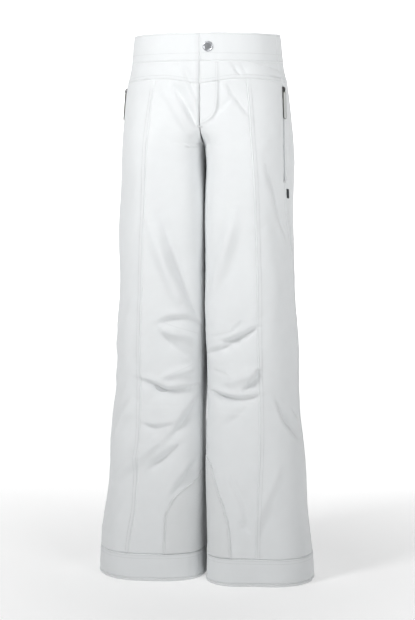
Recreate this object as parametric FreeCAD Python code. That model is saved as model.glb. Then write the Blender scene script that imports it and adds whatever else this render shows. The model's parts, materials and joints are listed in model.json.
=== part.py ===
"""Ski pants, standing as they hang when worn, in millimetres.

Frame: +X to the wearer's left, -Y to the wearer's front, +Z up.
Origin: the middle of the waist opening, 6.5 mm below the waistband's top edge at centre front.

The cloth surface is one family of closed sections. At the hips a section is one oval about the
middle; going down it parts into two ovals that touch at the crotch and then become the legs.
Every panel, lining and cuff is a stretch of that surface between two turns and two heights.
turn runs from 0 at the centre front or inseam, over 1 at the side seam, to 2 at the centre
back or inseam. side is +1 for the wearer's left and -1 for the right.
"""

import FreeCAD
import Part

import bisect
import functools
import math
import os

Vector = FreeCAD.Vector
LEFT, RIGHT = 1, -1
SIDES = {"left": LEFT, "right": RIGHT}

# Driving dimensions.
HEM_Z = -1000.0
CROTCH_Z = -195.0
HIP_SPLIT_Z = -95.0  # below this the one hip oval starts to part into two
CUFF_HEIGHT = 50.0
BAND_TOP_Z = 6.5  # at centre front
BAND_HEIGHT = 48.5
BACK_RISE = 14.0  # how much higher the waistband stands at the back
YOKE_SIDE_Z = -80.0
SEAM_GAP = 0.3  # half the gap between two panels that are sewn together
MIDDLE_GAP = 0.3  # from a centre seam to the middle plane
LEG_GAP = 2.0  # from a leg's inner side to the middle plane

SHELL = 2.0  # outer fabric
FACING = (2.4, 3.4)
UNDERLAP = (4.6, 6.0)
BAG = (9.0, 10.4)
SHIELD = (10.2, 11.0)
SIDE_TAB_DROP, SIDE_TAB_LENGTH = 20.0, 17.0
SIDE_TAB_WIDE = (5.6, 11.2)
SIDE_TAB_OUT = (1.2, 1.9)
LINING = (11.4, 12.6)
GUARD = (-2.2, -1.3)  # scuff guard, on top of the shell

FLY_BOTTOM_Z = -158.0
FLY_WIDTH = 35.0
FLAP_GAP = 0.5

ZIP_TOP_Z, ZIP_BOTTOM_Z = -88.0, -252.0
ZIP_SLOT = 6.5  # half the width of the opening in the shell over a pocket zipper

# Heights in mm with the surface's size there: half width, depth ahead of and behind the middle.
STATIONS = [
    (BACK_RISE, 134.0, 99.0, 107.0),
    (0.0, 136.0, 100.0, 108.0),
    (-47.0, 141.0, 101.0, 114.0),
    (-85.0, 149.0, 102.0, 121.0),
    (-130.0, 154.5, 103.0, 127.0),
    (-180.0, 158.5, 103.0, 128.0),
    (-240.0, 160.7, 101.0, 119.0),
    (-300.0, 161.7, 98.0, 108.0),
    (-400.0, 164.5, 94.0, 96.0),
    (-560.0, 169.0, 90.0, 87.0),
    (-700.0, 179.0, 87.0, 86.0),
    (-850.0, 195.0, 88.0, 91.0),
    (-950.0, 204.5, 90.0, 95.0),
    (HEM_Z, 206.5, 91.0, 96.0),
]
# How far the front princess seam stands from the middle on each side.
PRINCESS = {
    LEFT: [(-60, 82), (-130, 88), (-220, 95), (-380, 102), (-560, 105), (-730, 109), (-950, 104)],
    RIGHT: [(-60, 83), (-130, 91), (-220, 97), (-380, 106), (-560, 113), (-750, 117), (-950, 136)],
}
# The side seam's turn: it holds the pocket zipper and hangs further forward on the left hip.
SIDE_SEAM = {
    LEFT: [(ZIP_TOP_Z, 0.80), (-260.0, 0.81), (-420.0, 0.90), (-600.0, 0.93)],
    RIGHT: [(ZIP_TOP_Z, 0.93), (-600.0, 0.93)],
}
# The inner side's squareness: 2 is an ellipse.
OUTER_POWER = 2.15
INNER_POWER = [(-95.0, 2.2), (-200.0, 3.2), (-400.0, 3.0), (-600.0, 2.6), (HEM_Z, 2.4)]
# Where the inseam lies, in degrees ahead of the leg's inner side.
INSEAM_AHEAD = [(CROTCH_Z, 0.0), (-300.0, 16.0), (-500.0, 28.0), (HEM_Z, 28.0)]
# How far each leg stands ahead of the middle.
STANCE = {LEFT: [(CROTCH_Z, 0.0), (HEM_Z, -12.0)], RIGHT: [(CROTCH_Z, 0.0), (HEM_Z, 4.0)]}


class Profile:
    """One column of a table of heights, smooth from row to row and level past its ends."""

    def __init__(self, table, column=1):
        rows = sorted((row[0], row[column]) for row in table)
        self.z, self.value = zip(*rows)
        last = len(rows) - 1
        rises = [
            (self.value[i + 1] - self.value[i]) / (self.z[i + 1] - self.z[i]) for i in range(last)
        ]
        self.slope = [0.0] * (last + 1)
        for i in range(1, last):
            if rises[i - 1] * rises[i] > 0:
                self.slope[i] = 2 * rises[i - 1] * rises[i] / (rises[i - 1] + rises[i])

    def __call__(self, z):
        if z <= self.z[0]:
            return self.value[0]
        if z >= self.z[-1]:
            return self.value[-1]
        i = bisect.bisect_right(self.z, z) - 1
        step = self.z[i + 1] - self.z[i]
        t = (z - self.z[i]) / step
        return (
            self.value[i] * (1 + 2 * t) * (1 - t) ** 2
            + self.value[i + 1] * t * t * (3 - 2 * t)
            + self.slope[i] * step * t * (1 - t) ** 2
            + self.slope[i + 1] * step * t * t * (t - 1)
        )


HALF_WIDTH, FRONT_DEPTH, BACK_DEPTH = (Profile(STATIONS, k) for k in (1, 2, 3))
PRINCESS_X = {side: Profile(rows) for side, rows in PRINCESS.items()}
SIDE_SEAM_TURN = {side: Profile(rows) for side, rows in SIDE_SEAM.items()}
POWER_IN = Profile(INNER_POWER)
INSEAM = Profile(INSEAM_AHEAD)
STAND = {side: Profile(rows) for side, rows in STANCE.items()}


def smoothstep(t):
    t = min(1.0, max(0.0, t))
    return t * t * (3 - 2 * t)


def section(z, inset):
    """One side's oval at a height: its middle, half width, front and back depth and powers."""
    half, front, back = (f(z) - inset for f in (HALF_WIDTH, FRONT_DEPTH, BACK_DEPTH))
    crotch = CROTCH_Z + max(0.0, inset)
    if z > crotch:
        inner = -half * smoothstep((z - crotch) / (HIP_SPLIT_Z - crotch))
    else:
        rounded = min(1.0, max(0.0, (z - CROTCH_Z) / max(inset, 0.1)))
        inner = LEG_GAP * smoothstep((crotch - z) / 40.0) + inset * math.sqrt(1 - rounded**2)
    return (half + inner) / 2, (half - inner) / 2, front, back


def inner_angle(z, inset):
    """The angle from straight ahead to the oval's inner edge, where the two sides meet."""
    middle, half, _, _ = section(z, inset)
    power = POWER_IN(z)
    share = min(1.0, middle / half)
    if z > CROTCH_Z + max(0.0, inset):
        return math.atan2(share, max(0.0, 1 - share**power) ** (1 / power))
    return math.pi / 2 - math.radians(INSEAM(z))


def place(side, turn, z, inset=0.0):
    """A point on the cloth, or inset below it."""
    middle, half, front, back = section(z, inset)
    inner = inner_angle(z, inset)
    on_leg = z <= CROTCH_Z + max(0.0, inset)
    if turn <= 1:
        angle = -inner + turn * (math.pi / 2 + inner)
    else:
        end = 2 * math.pi - inner if on_leg else math.pi + inner
        angle = math.pi / 2 + (turn - 1) * (end - math.pi / 2)
    across, ahead = math.sin(angle), math.cos(angle)
    power = OUTER_POWER if across > 0 else POWER_IN(z)
    reach = (abs(across) ** power + abs(ahead) ** power) ** (-1 / power)
    depth = front if ahead > 0 else back
    x = middle + half * reach * across
    y = STAND[side](z) - depth * reach * ahead
    return Vector(side * max(MIDDLE_GAP, x), y, z)


def outward(side, turn, z):
    """The unit normal of the cloth, pointing out of the pants."""
    step = 0.01
    along = place(side, turn + step, z) - place(side, turn - step, z)
    down = place(side, turn, z - 4) - place(side, turn, z + 4)
    normal = down.cross(along) * side
    return normal / normal.Length


@functools.lru_cache(maxsize=None)
def princess_turn(side, z):
    """The turn of the front princess seam."""
    target = PRINCESS_X[side](z)
    low, high = 0.0, 1.0
    for _ in range(40):
        turn = (low + high) / 2
        if abs(place(side, turn, z).x) < target:
            low = turn
        else:
            high = turn
    return low


@functools.lru_cache(maxsize=None)
def seam_run(side, top, bottom, turn):
    """Heights down a centre seam and on down the inseam, with the length run at each."""
    steps = 240
    heights = [top + (bottom - top) * k / steps for k in range(steps + 1)]
    points = [place(side, turn, z) for z in heights]
    run = [0.0]
    for a, b in zip(points, points[1:]):
        run.append(run[-1] + (b - a).Length)
    return heights, run


def rise_level(side, share, top, bottom, turn):
    """The height at a share of the seam's length."""
    heights, run = seam_run(side, top, bottom, turn)
    want = share * run[-1]
    k = min(len(run) - 1, max(1, bisect.bisect_left(run, want)))
    part = (want - run[k - 1]) / max(1e-9, run[k] - run[k - 1])
    return heights[k - 1] + part * (heights[k] - heights[k - 1])


def spline_surface(grid):
    """A smooth surface led by a grid of points; it keeps inside them, so it can't overshoot."""
    settings = []
    for count in (len(grid), len(grid[0])):
        spans = count - 3
        settings.append(([4] + [1] * (spans - 1) + [4], [k / spans for k in range(spans + 1)]))
    (mults_u, knots_u), (mults_v, knots_v) = settings
    surface = Part.BSplineSurface()
    surface.buildFromPolesMultsKnots(
        grid, mults_u, mults_v, knots_u, knots_v, False, False, 3, 3
    )
    return surface


def sheet(outer, inner):
    """A closed solid between two grids of points that have the same rows and columns."""
    a, b = spline_surface(outer), spline_surface(inner)
    faces = [a.toShape(), b.toShape()]
    for edge_a, edge_b in (
        (a.uIso(0), b.uIso(0)),
        (a.uIso(1), b.uIso(1)),
        (a.vIso(0), b.vIso(0)),
        (a.vIso(1), b.vIso(1)),
    ):
        faces.append(Part.makeRuledSurface(edge_a.toShape(), edge_b.toShape(), 1))
    shell = Part.makeShell(faces)
    shell.sewShape()
    solid = Part.makeSolid(shell)
    if solid.Volume < 0:
        solid.reverse()
    return solid


def cloth(side, turns, heights, out_inset, in_inset, columns=8, rows=8):
    """A panel: turns(z) and heights(turn share) give its edges, insets its two faces."""
    grids = []
    for inset in (out_inset, in_inset):
        grid = []
        for r in range(rows + 1):
            row = []
            for c in range(columns + 1):
                top, bottom = heights(c / columns)
                z = top + (bottom - top) * r / rows
                first, last = turns(z)
                row.append(place(side, first + (last - first) * c / columns, z, inset))
            grid.append(row)
        grids.append(grid)
    return sheet(*grids)


def turn_step(side, turn, z, distance):
    """The change of turn that moves a point along the cloth by a distance."""
    step = 0.01
    length = (place(side, turn + step, z) - place(side, turn - step, z)).Length
    return distance * 2 * step / length


def band_top(turn):
    """The waistband's top edge: level in front, and rising towards the back."""
    return BAND_TOP_Z + BACK_RISE * smoothstep((turn - 0.7) / 1.1)


def yoke_z(turn):
    """The seam under the yokes, dipping to the fly in front and to a point behind."""
    if turn <= 1:
        to_side = 5.0 * smoothstep((turn - 0.4) / 0.5)
        return YOKE_SIDE_Z + 5.0 - 8.0 * (1 - smoothstep(turn / 0.3)) - to_side
    return YOKE_SIDE_Z - 38.0 * smoothstep(turn - 1)


def across(x, z, inset=0.0, behind=False):
    """A point at a distance across from the middle, on the cloth's front or back."""
    middle, half, front, back = section(z, inset)
    share = (abs(x) - middle) / half
    power = OUTER_POWER if share > 0 else POWER_IN(z)
    reach = max(0.0, 1 - abs(share) ** power) ** (1 / power)
    y = STAND[LEFT if x > 0 else RIGHT](z)
    y += back * reach if behind else -front * reach
    return Vector(x, y, z)


def flat_cloth(x0, x1, top, bottom, insets, behind=False, columns=8, rows=8):
    """A piece of the front or back between two distances across and two heights."""
    grids = []
    for inset in insets:
        grid = []
        for r in range(rows + 1):
            z = top + (bottom - top) * r / rows
            row = [across(x0 + (x1 - x0) * c / columns, z, inset, behind) for c in range(columns + 1)]
            grid.append(row)
        grids.append(grid)
    return sheet(*grids)


def box(x0, x1, y0, y1, z0, z1):
    return Part.makeBox(x1 - x0, y1 - y0, z1 - z0, Vector(x0, y0, z0))


def disc(radius, y0, y1, x, z):
    """A round piece with its axis front to back."""
    return Part.makeCylinder(radius, y1 - y0, Vector(x, y0, z), Vector(0, 1, 0))


def save(name, shape):
    shape.exportStep(f"parts/{name}.step")
    print(name, len(shape.Solids), shape.isValid(), round(shape.Volume))


def flap_zone(grow):
    """The swinging part of the fly: a wedge that narrows to the foot of the fly."""
    foot = FLY_BOTTOM_Z - 5.0
    corners = [(-1.0, 30.0), (FLY_WIDTH + grow, 30.0), (FLY_WIDTH + grow, 0.0)]
    corners += [(grow, foot), (-1.0, foot)]
    wire = Part.makePolygon([Vector(x, -130, z) for x, z in corners + corners[:1]])
    return Part.Face(wire).extrude(Vector(0, 60, 0))


def moved(solid, matrix):
    """A solid carried by a rigid move, keeping its round faces round."""
    carried = solid.copy()
    carried.Placement = FreeCAD.Placement(matrix).multiply(carried.Placement)
    return carried


class PocketLine:
    """The straight line of a pocket zipper's slider, with its own width and outward directions."""

    def __init__(self, side):
        self.side = side
        seam = SIDE_SEAM_TURN[side]
        self.top = place(side, seam(ZIP_TOP_Z), ZIP_TOP_Z)
        self.bottom = place(side, seam(ZIP_BOTTOM_Z), ZIP_BOTTOM_Z)
        self.down = (self.bottom - self.top).normalize()
        middle = (ZIP_TOP_Z + ZIP_BOTTOM_Z) / 2
        out = outward(side, seam(middle), middle)
        self.out = (out - self.down * out.dot(self.down)).normalize()
        self.wide = self.out.cross(self.down)
        self.length = (self.bottom - self.top).Length

    def box(self, along, wide, out):
        """A block between pairs of distances along, across and out from the line."""
        solid = box(along[0], along[1], wide[0], wide[1], out[0], out[1])
        return self.carry(solid)

    def carry(self, solid):
        """Move a solid from along, wide, out axes to the pocket."""
        a, b, c, p = self.down, self.wide, self.out, self.top
        m = FreeCAD.Matrix(a.x, b.x, c.x, p.x, a.y, b.y, c.y, p.y, a.z, b.z, c.z, p.z, 0, 0, 0, 1)
        return moved(solid, m)


def zipper_half(length, reach, sign):
    """A tape with its row of coil, along X, on one side of the chain's middle."""
    w = sorted((sign * 1.2, sign * reach))
    tape = box(-4.0, length, w[0], w[1], -0.4, 0.4)
    c = sorted((sign * 0.6, sign * 1.8))
    coil = box(-2.0, length - 3.0, c[0], c[1], -1.0, 1.0)
    coil = coil.makeFillet(0.3, [e for e in coil.Edges if abs(e.Length - length - 2.0 + 3.0) < 0.1])
    return tape.fuse(coil).removeSplitter()


def zipper(length, reach):
    """Both halves of a closed zipper, held together by the stop at the foot."""
    stop = box(length - 3.0, length, -3.0, 3.0, -1.3, 1.3)
    return zipper_half(length, reach, -1).fuse([zipper_half(length, reach, 1), stop]).removeSplitter()


def slider_body(out_plate=1.5, in_plate=1.2, bail=2.4):
    """A zipper slider with its middle at zero: two plates, a thin post and a bail."""
    top = box(-5.0, 5.0, -4.2, 4.2, 1.3, 1.3 + out_plate)
    low = box(-5.0, 5.0, -4.2, 4.2, -1.3 - in_plate, -1.3)
    corners = [e for e in top.Edges if abs(e.Length - out_plate) < 0.01]
    top = top.makeFillet(2.0, corners)
    low = low.makeFillet(2.0, [e for e in low.Edges if abs(e.Length - in_plate) < 0.01])
    post = box(-4.6, -1.6, -0.3, 0.3, -1.5, 1.5)
    height = 1.3 + out_plate
    arch = box(-4.0, 4.0, -0.8, 0.8, height - 0.2, height + bail)
    arch = arch.makeFillet(1.4, [e for e in arch.Edges if e.BoundBox.ZMin > height + 1 and e.Length < 1.7])
    window = box(-2.6, 2.6, -1.0, 1.0, height, height + bail - 0.8)
    return top.fuse([low, post, arch.cut(window)]).removeSplitter()


def link(reach, height, wire=0.6, half=2.2):
    """A bent wire link round a pin at the origin, reaching along X."""
    pin = Part.makeCylinder(wire, 2 * half, Vector(0, -half, height), Vector(0, 1, 0))
    arms = [
        Part.makeCylinder(wire, reach, Vector(0, s * half, height), Vector(1, 0, 0)) for s in (-1, 1)
    ]
    foot = Part.makeCylinder(wire, 2 * half, Vector(reach, -half, height), Vector(0, 1, 0))
    balls = [
        Part.makeSphere(wire, Vector(x, s * half, height)) for x in (0, reach) for s in (-1, 1)
    ]
    return pin.fuse(arms + [foot] + balls).removeSplitter()


def make_panels(side_name, side):
    """The shell of one side: front, side and back panels, yokes and waistband."""
    zone = flap_zone(FLAP_GAP / 2) if side == LEFT else None
    pocket = PocketLine(side)
    slot = pocket.box((-4.0, pocket.length + 4.0), (-ZIP_SLOT, ZIP_SLOT), (-14.0, 14.0))
    cuff_top = HEM_Z + CUFF_HEIGHT

    def inner_edge(z):
        return turn_step(side, 0.0, z, SEAM_GAP) if z < CROTCH_Z else 0.0

    def rows(share, top_turn, first_turn, weight):
        """Heights that follow the seam's length at one edge and are even at the other."""
        top = yoke_z(top_turn) - SEAM_GAP
        seam = rise_level(side, share, top, cuff_top, first_turn)
        even = top + (cuff_top - top) * share
        return seam + (even - seam) * weight

    def long_panel(first, last, seam_turn=None, columns=10, count=26):
        """A panel from the yoke seam down to the cuff, first and last giving its edges."""
        grids = []
        for inset in (0.0, SHELL):
            grid = []
            for r in range(count + 1):
                row = []
                for c in range(columns + 1):
                    part = c / columns
                    top_turn = first(-80.0) + (last(-80.0) - first(-80.0)) * part
                    if seam_turn is None:
                        top = yoke_z(top_turn) - SEAM_GAP
                        z = top + (cuff_top - top) * r / count
                    else:
                        weight = part if seam_turn == 0 else 1 - part
                        z = rows(r / count, top_turn, seam_turn, weight)
                    turn = first(z) + (last(z) - first(z)) * part
                    row.append(place(side, turn, z, inset))
                grid.append(row)
            grids.append(grid)
        return sheet(*grids)

    def seam(z):
        return princess_turn(side, z)

    outseam = SIDE_SEAM_TURN[side]

    def step(turn, z):
        return turn_step(side, turn, z, SEAM_GAP)

    front = long_panel(inner_edge, lambda z: seam(z) - step(seam(z), z), 0)
    flank = long_panel(
        lambda z: seam(z) + step(seam(z), z), lambda z: outseam(z) - step(outseam(z), z), columns=8
    )
    back = long_panel(
        lambda z: outseam(z) + step(outseam(z), z), lambda z: 2.0 - inner_edge(z), 2, columns=14
    )
    if zone:
        front = front.cut(zone)
    save(f"{side_name}_front_panel", front)
    save(f"{side_name}_side_panel", flank.cut(slot))
    save(f"{side_name}_back_panel", back.cut(slot))

    def short(first, last, top, bottom, insets, columns=10, count=5):
        return cloth(
            side,
            lambda z: (first, last),
            lambda part: (top(first + (last - first) * part), bottom(first + (last - first) * part)),
            insets[0],
            insets[1],
            columns,
            count,
        )

    def band_bottom(turn):
        return band_top(turn) - BAND_HEIGHT - 2.0

    hip_seam = outseam(ZIP_TOP_Z)
    seam_step = step(hip_seam, -60.0)
    shell = (0.0, SHELL)

    def yoke_top(turn):
        return band_bottom(turn) - 2 * SEAM_GAP

    def yoke_bottom(turn):
        return yoke_z(turn) + SEAM_GAP

    ahead = short(0.0, hip_seam - seam_step, yoke_top, yoke_bottom, shell)
    behind = short(hip_seam + seam_step, 2.0, yoke_top, yoke_bottom, shell)
    band = short(0.0, hip_seam - seam_step, band_top, band_bottom, shell)
    facing = short(
        0.24 if side == LEFT else 0.0,
        1.99,
        lambda t: band_top(t) - 1.5,
        lambda t: band_bottom(t) - 5.0,
        FACING,
        columns=16,
    )
    if zone:
        ahead, band = ahead.cut(zone), band.cut(zone)
    save(f"{side_name}_front_yoke", ahead)
    save(f"{side_name}_back_yoke", behind)
    save(f"{side_name}_waistband", band)
    save(f"{side_name}_waistband_facing", facing)


def make_back_band():
    """The back of the waistband, in one piece from side seam to side seam."""
    grids = []
    for inset in (0.0, SHELL):
        grid = []
        for r in range(6):
            row = []
            for c in range(33):
                reach = -1 + c / 16
                side = LEFT if reach > 0 else RIGHT
                seam = SIDE_SEAM_TURN[side](ZIP_TOP_Z)
                step = turn_step(side, seam, -20.0, SEAM_GAP)
                turn = 2.0 - abs(reach) * (2.0 - seam - step)
                z = band_top(turn) - (BAND_HEIGHT + 2.0) * r / 5
                point = place(side, turn, z, inset)
                row.append(Vector(0.0 if c == 16 else point.x, point.y, z))
            grid.append(row)
        grids.append(grid)
    save("back_waistband", sheet(*grids))


def ring(side, top, bottom, top_insets, bottom_insets, columns=36, rows=4):
    """A tube of cloth round one leg, open by a sewn seam at the inseam."""
    grids = []
    for k in (0, 1):
        grid = []
        for r in range(rows + 1):
            share = r / rows
            z = top + (bottom - top) * share
            inset = top_insets[k] + (bottom_insets[k] - top_insets[k]) * share
            step = turn_step(side, 0.0, z, SEAM_GAP)
            row = []
            for c in range(columns + 1):
                turn = step + (2.0 - 2 * step) * c / columns
                row.append(place(side, turn, z, inset))
            grid.append(row)
        grids.append(grid)
    return sheet(*grids)


def make_lower_leg(side_name, side):
    """Cuff, binding, scuff guard with its piping, gaiter with elastic and lace hook."""
    cuff_top = HEM_Z + CUFF_HEIGHT
    shell = (0.0, SHELL)
    save(f"{side_name}_hem_cuff", ring(side, cuff_top - 0.6, HEM_Z + 3.6, shell, shell))
    edge = (-0.5, SHELL + 0.5)
    save(f"{side_name}_hem_binding", ring(side, HEM_Z + 3.3, HEM_Z, edge, edge, rows=3))

    low, high = cuff_top + 2.0, HEM_Z + 212.0

    def guard_front(z):
        """The guard's front edge runs down steeply and then steeper still."""
        share = (high - z) / (high - low)
        return 0.02 + 0.28 * math.sqrt(max(0.0, 1 - (1 - share) ** 2.4))

    grids = []
    for inset in GUARD:
        grid = []
        for r in range(11):
            z = high + (low - high) * (r / 10) ** 1.3
            last = guard_front(z)
            first = -0.10 - 0.50 * math.sqrt(r / 10)
            grid.append([place(side, first + (last - first) * c / 18, z, inset) for c in range(19)])
        grids.append(grid)
    save(f"{side_name}_scuff_guard", sheet(*grids))

    path = []
    for r in range(13):
        z = high - 2.0 + (low + 2.0 - high) * (r / 12) ** 1.3
        turn = guard_front(z)
        path.append(place(side, turn + turn_step(side, turn, z, 1.6), z, GUARD[0]))
    spine = Part.BSplineCurve()
    spine.interpolate(path)
    start = spine.tangent(spine.FirstParameter)[0]
    circle = Part.Circle(path[0], start, 0.8).toShape()
    wire = Part.Wire([spine.toShape()])
    piping = wire.makePipeShell([Part.Wire([circle])], True, True)
    save(f"{side_name}_guard_piping", piping)

    gaiter_top, gaiter_low = -830.0, -985.0
    save(
        f"{side_name}_gaiter",
        ring(side, gaiter_top, gaiter_low + 22.0, (13.4, 14.4), (33.0, 34.0), rows=6),
    )
    save(
        f"{side_name}_gaiter_elastic",
        ring(side, gaiter_low + 21.0, gaiter_low, (33.0, 35.5), (33.0, 35.5), rows=3),
    )
    front = place(side, 0.45, gaiter_low + 8.0, 33.0)
    plate = box(-5.0, 5.0, -1.0, 0.0, -6.0, 9.0)
    tip = box(-2.5, 2.5, -4.2, -3.2, -11.0, 1.0)
    bend = box(-2.5, 2.5, -4.2, 0.0, -12.0, -11.0).fuse(box(-2.5, 2.5, -1.0, 0.0, -11.5, -5.0))
    hook = plate.fuse([tip, bend]).removeSplitter()
    normal = outward(side, 0.45, gaiter_low)
    hook.rotate(Vector(0, 0, 0), Vector(0, 0, 1), math.degrees(math.atan2(normal.x, -normal.y)))
    hook.translate(front + Vector(normal.x, normal.y, 0) * 0.9)
    save(f"{side_name}_lace_hook", hook)


def make_lining():
    """The linings: a tube in each leg and one round the seat, open at the fly."""
    for side_name, side in SIDES.items():
        save(f"{side_name}_leg_lining", ring(side, -206.0, -935.0, LINING, LINING, rows=16))
    grids = []
    for inset in LINING:
        grid = []
        for r in range(7):
            z = -52.0 - 118.0 * r / 6
            row = []
            for c in range(41):
                way = 0.12 + 3.88 * c / 40
                side, turn = (LEFT, way) if way < 2 else (RIGHT, 4.0 - way)
                row.append(place(side, turn, z, inset))
            grid.append(row)
        grids.append(grid)
    save("seat_lining", sheet(*grids))


def make_pocket(side_name, side):
    """A pocket: its zipper halves, slider, link, tab, end bar and bag."""
    line = PocketLine(side)
    depth = -1.0  # the chain's middle lies this far under the line
    chain = zipper(line.length + 2.0, ZIP_SLOT - SEAM_GAP)
    chain.translate(Vector(0, 0, depth))
    save(f"{side_name}_pocket_zipper", line.carry(chain))
    slider = slider_body()
    slider.translate(Vector(4.0, 0, depth))
    save(f"{side_name}_pocket_slider", line.carry(slider))
    pivot = depth + 1.3 + 1.5 + 0.8
    wire = link(8.0, pivot)
    wire.translate(Vector(4.0, 0, 0))
    save(f"{side_name}_pocket_link", line.carry(wire))
    tab = box(8.6, 58.0, -5.0, 5.0, pivot - 1.1, pivot + 1.1)
    tab = tab.makeFillet(0.9, [e for e in tab.Edges if abs(e.Length - 10.0) < 0.01])
    tab = tab.cut(box(10.6, 13.4, -2.9, 2.9, pivot - 3, pivot + 3))
    tab = tab.cut(box(8.0, 11.0, -3.4, 3.4, pivot - 3, pivot + 3))
    save(f"{side_name}_pocket_tab", line.carry(tab))
    end = line.length
    save(f"{side_name}_pocket_end_bar", line.box((end + 5.0, end + 9.0), (-5.0, 5.0), (0.4, 1.2)))
    bag = cloth(
        side,
        lambda z: (0.5 + 0.04 * (z / -100.0), 1.06),
        lambda part: (-70.0, -285.0 - 18.0 * math.sin(math.pi * part)),
        BAG[0],
        BAG[1],
    )
    save(f"{side_name}_pocket_bag", bag)


def make_fly():
    """The fly: swinging flap and waist tab, underlap, shield, zipper and snap."""
    zone = flap_zone(-FLAP_GAP / 2)
    whole = flat_cloth(0.3, 42.0, BAND_TOP_Z, FLY_BOTTOM_Z, (0.0, SHELL), rows=14)
    seam_z = BAND_TOP_Z - BAND_HEIGHT - 2.0
    tab = whole.common(zone).common(box(-5, 60, -140, -50, seam_z, 20))
    flap = whole.common(zone).common(box(-5, 60, -140, -50, -200, seam_z - 2 * SEAM_GAP))
    save("waist_tab", tab)
    save("fly_flap", flap)
    save("waist_underlap", flat_cloth(-24.0, 38.0, BAND_TOP_Z - 1.0, -43.0, UNDERLAP))
    save("fly_shield", flat_cloth(-8.0, 44.0, -6.0, -165.0, SHIELD, rows=14))

    chain_x, chain_y, top, bottom = 17.0, -94.9, -50.0, -144.0
    turned = FreeCAD.Matrix(0, 1, 0, chain_x, 0, 0, -1, chain_y, -1, 0, 0, top, 0, 0, 0, 1)
    chain = zipper(top - bottom, 9.0)
    chain.translate(Vector(3.0, 0, 0))
    save("fly_zipper", moved(chain, turned))
    slider = slider_body(out_plate=1.0, in_plate=0.8, bail=1.3)
    slider.translate(Vector(7.0, 0, 0))
    save("fly_slider", moved(slider, turned))
    bar = flat_cloth(-4.0, 5.0, FLY_BOTTOM_Z - 1.0, FLY_BOTTOM_Z - 4.0, (-1.2, -0.4), rows=3)
    save("fly_end_bar", bar)

    x, z = 15.0, -18.0
    face = across(x, z).y
    cap = disc(9.2, face - 2.9, face - 0.8, x, z)
    rim = [e for e in cap.Edges if abs(e.BoundBox.YMin - (face - 2.9)) < 0.01 and len(e.Vertexes) == 1]
    cap = cap.makeFillet(1.2, rim)
    save("snap_cap", cap)
    socket = disc(6.0, face + 2.8, face + 4.05, x, z).cut(disc(3.8, face + 3.1, face + 5, x, z))
    save("snap_socket", socket)
    save("snap_stud", disc(3.2, face + 3.4, face + 4.4, x, z))


def make_trim():
    """Hanger loops, care label and the small plain tab beside the left pocket."""
    for name, side in SIDES.items():
        x = side * 46.0
        inside = across(x, -14.0, 5.5, behind=True).y
        lean = inside - across(x, 6.0, 5.5, behind=True).y
        loop = box(x - 4.0, x + 4.0, inside - 3.0, inside, -26.0, 24.0)
        loop = loop.makeFillet(1.4, [e for e in loop.Edges if abs(e.Length - 8.0) < 0.01])
        loop = loop.cut(box(x - 5.0, x + 5.0, inside - 2.2, inside - 0.8, -20.0, 23.0))
        loop.rotate(Vector(x, inside, -14.0), Vector(1, 0, 0), math.degrees(math.atan2(lean, 20.0)))
        save(f"{name}_hanger_loop", loop)
    label = flat_cloth(-16.0, 16.0, 4.0, -46.0, (4.3, 5.0), behind=True)
    save("care_label", label)
    line = PocketLine(LEFT)
    top = line.length + SIDE_TAB_DROP
    save("side_tab", line.box((top, top + SIDE_TAB_LENGTH), SIDE_TAB_WIDE, SIDE_TAB_OUT))


os.makedirs("parts", exist_ok=True)
for name, side in SIDES.items():
    make_panels(name, side)
    make_lower_leg(name, side)
    make_pocket(name, side)
make_lining()
make_back_band()
make_fly()
make_trim()
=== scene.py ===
"""Ski pants: the visual model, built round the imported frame.

Shapes are worked out in millimetres in the frame's own axes (+X to the wearer's left, -Y to the
front, +Z up, origin in the middle of the waist opening) and scaled to metres as meshes are made.
"""

import json
import math

import bmesh
import bpy
import numpy as np
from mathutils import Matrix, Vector


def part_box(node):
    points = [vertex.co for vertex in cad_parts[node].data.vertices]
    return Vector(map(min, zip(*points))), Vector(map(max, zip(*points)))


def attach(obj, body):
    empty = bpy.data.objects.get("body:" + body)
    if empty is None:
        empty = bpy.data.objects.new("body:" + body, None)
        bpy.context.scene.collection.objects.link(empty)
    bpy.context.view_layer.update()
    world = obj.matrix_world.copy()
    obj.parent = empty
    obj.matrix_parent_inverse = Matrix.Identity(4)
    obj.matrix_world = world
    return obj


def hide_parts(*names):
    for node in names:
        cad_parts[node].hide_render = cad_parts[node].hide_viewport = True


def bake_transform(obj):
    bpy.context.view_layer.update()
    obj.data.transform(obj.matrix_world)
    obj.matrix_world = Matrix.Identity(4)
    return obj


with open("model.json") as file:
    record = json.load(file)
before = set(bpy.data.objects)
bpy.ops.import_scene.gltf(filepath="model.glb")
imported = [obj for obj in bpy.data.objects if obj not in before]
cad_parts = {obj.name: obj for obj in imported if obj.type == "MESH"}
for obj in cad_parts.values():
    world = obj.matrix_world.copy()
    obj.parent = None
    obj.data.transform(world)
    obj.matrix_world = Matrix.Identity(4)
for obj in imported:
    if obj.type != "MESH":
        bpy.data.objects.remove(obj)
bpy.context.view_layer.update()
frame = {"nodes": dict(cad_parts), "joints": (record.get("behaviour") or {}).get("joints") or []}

MM = 0.001
LEFT, RIGHT = 1, -1
SIDES = {"left": LEFT, "right": RIGHT}

# ---------------------------------------------------------------- the cloth's base shape

HEM_Z, CROTCH_Z, HIP_SPLIT_Z = -1000.0, -195.0, -95.0
CUFF_TOP_Z = HEM_Z + 50.0
BAND_TOP_Z = 6.5
BAND_DEPTH = 50.5
BACK_RISE = 14.0
MIDDLE_GAP, LEG_GAP = 0.3, 2.0
ZIP_TOP_Z, ZIP_BOTTOM_Z = -88.0, -252.0
FLY_BOTTOM_Z = -158.0

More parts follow.
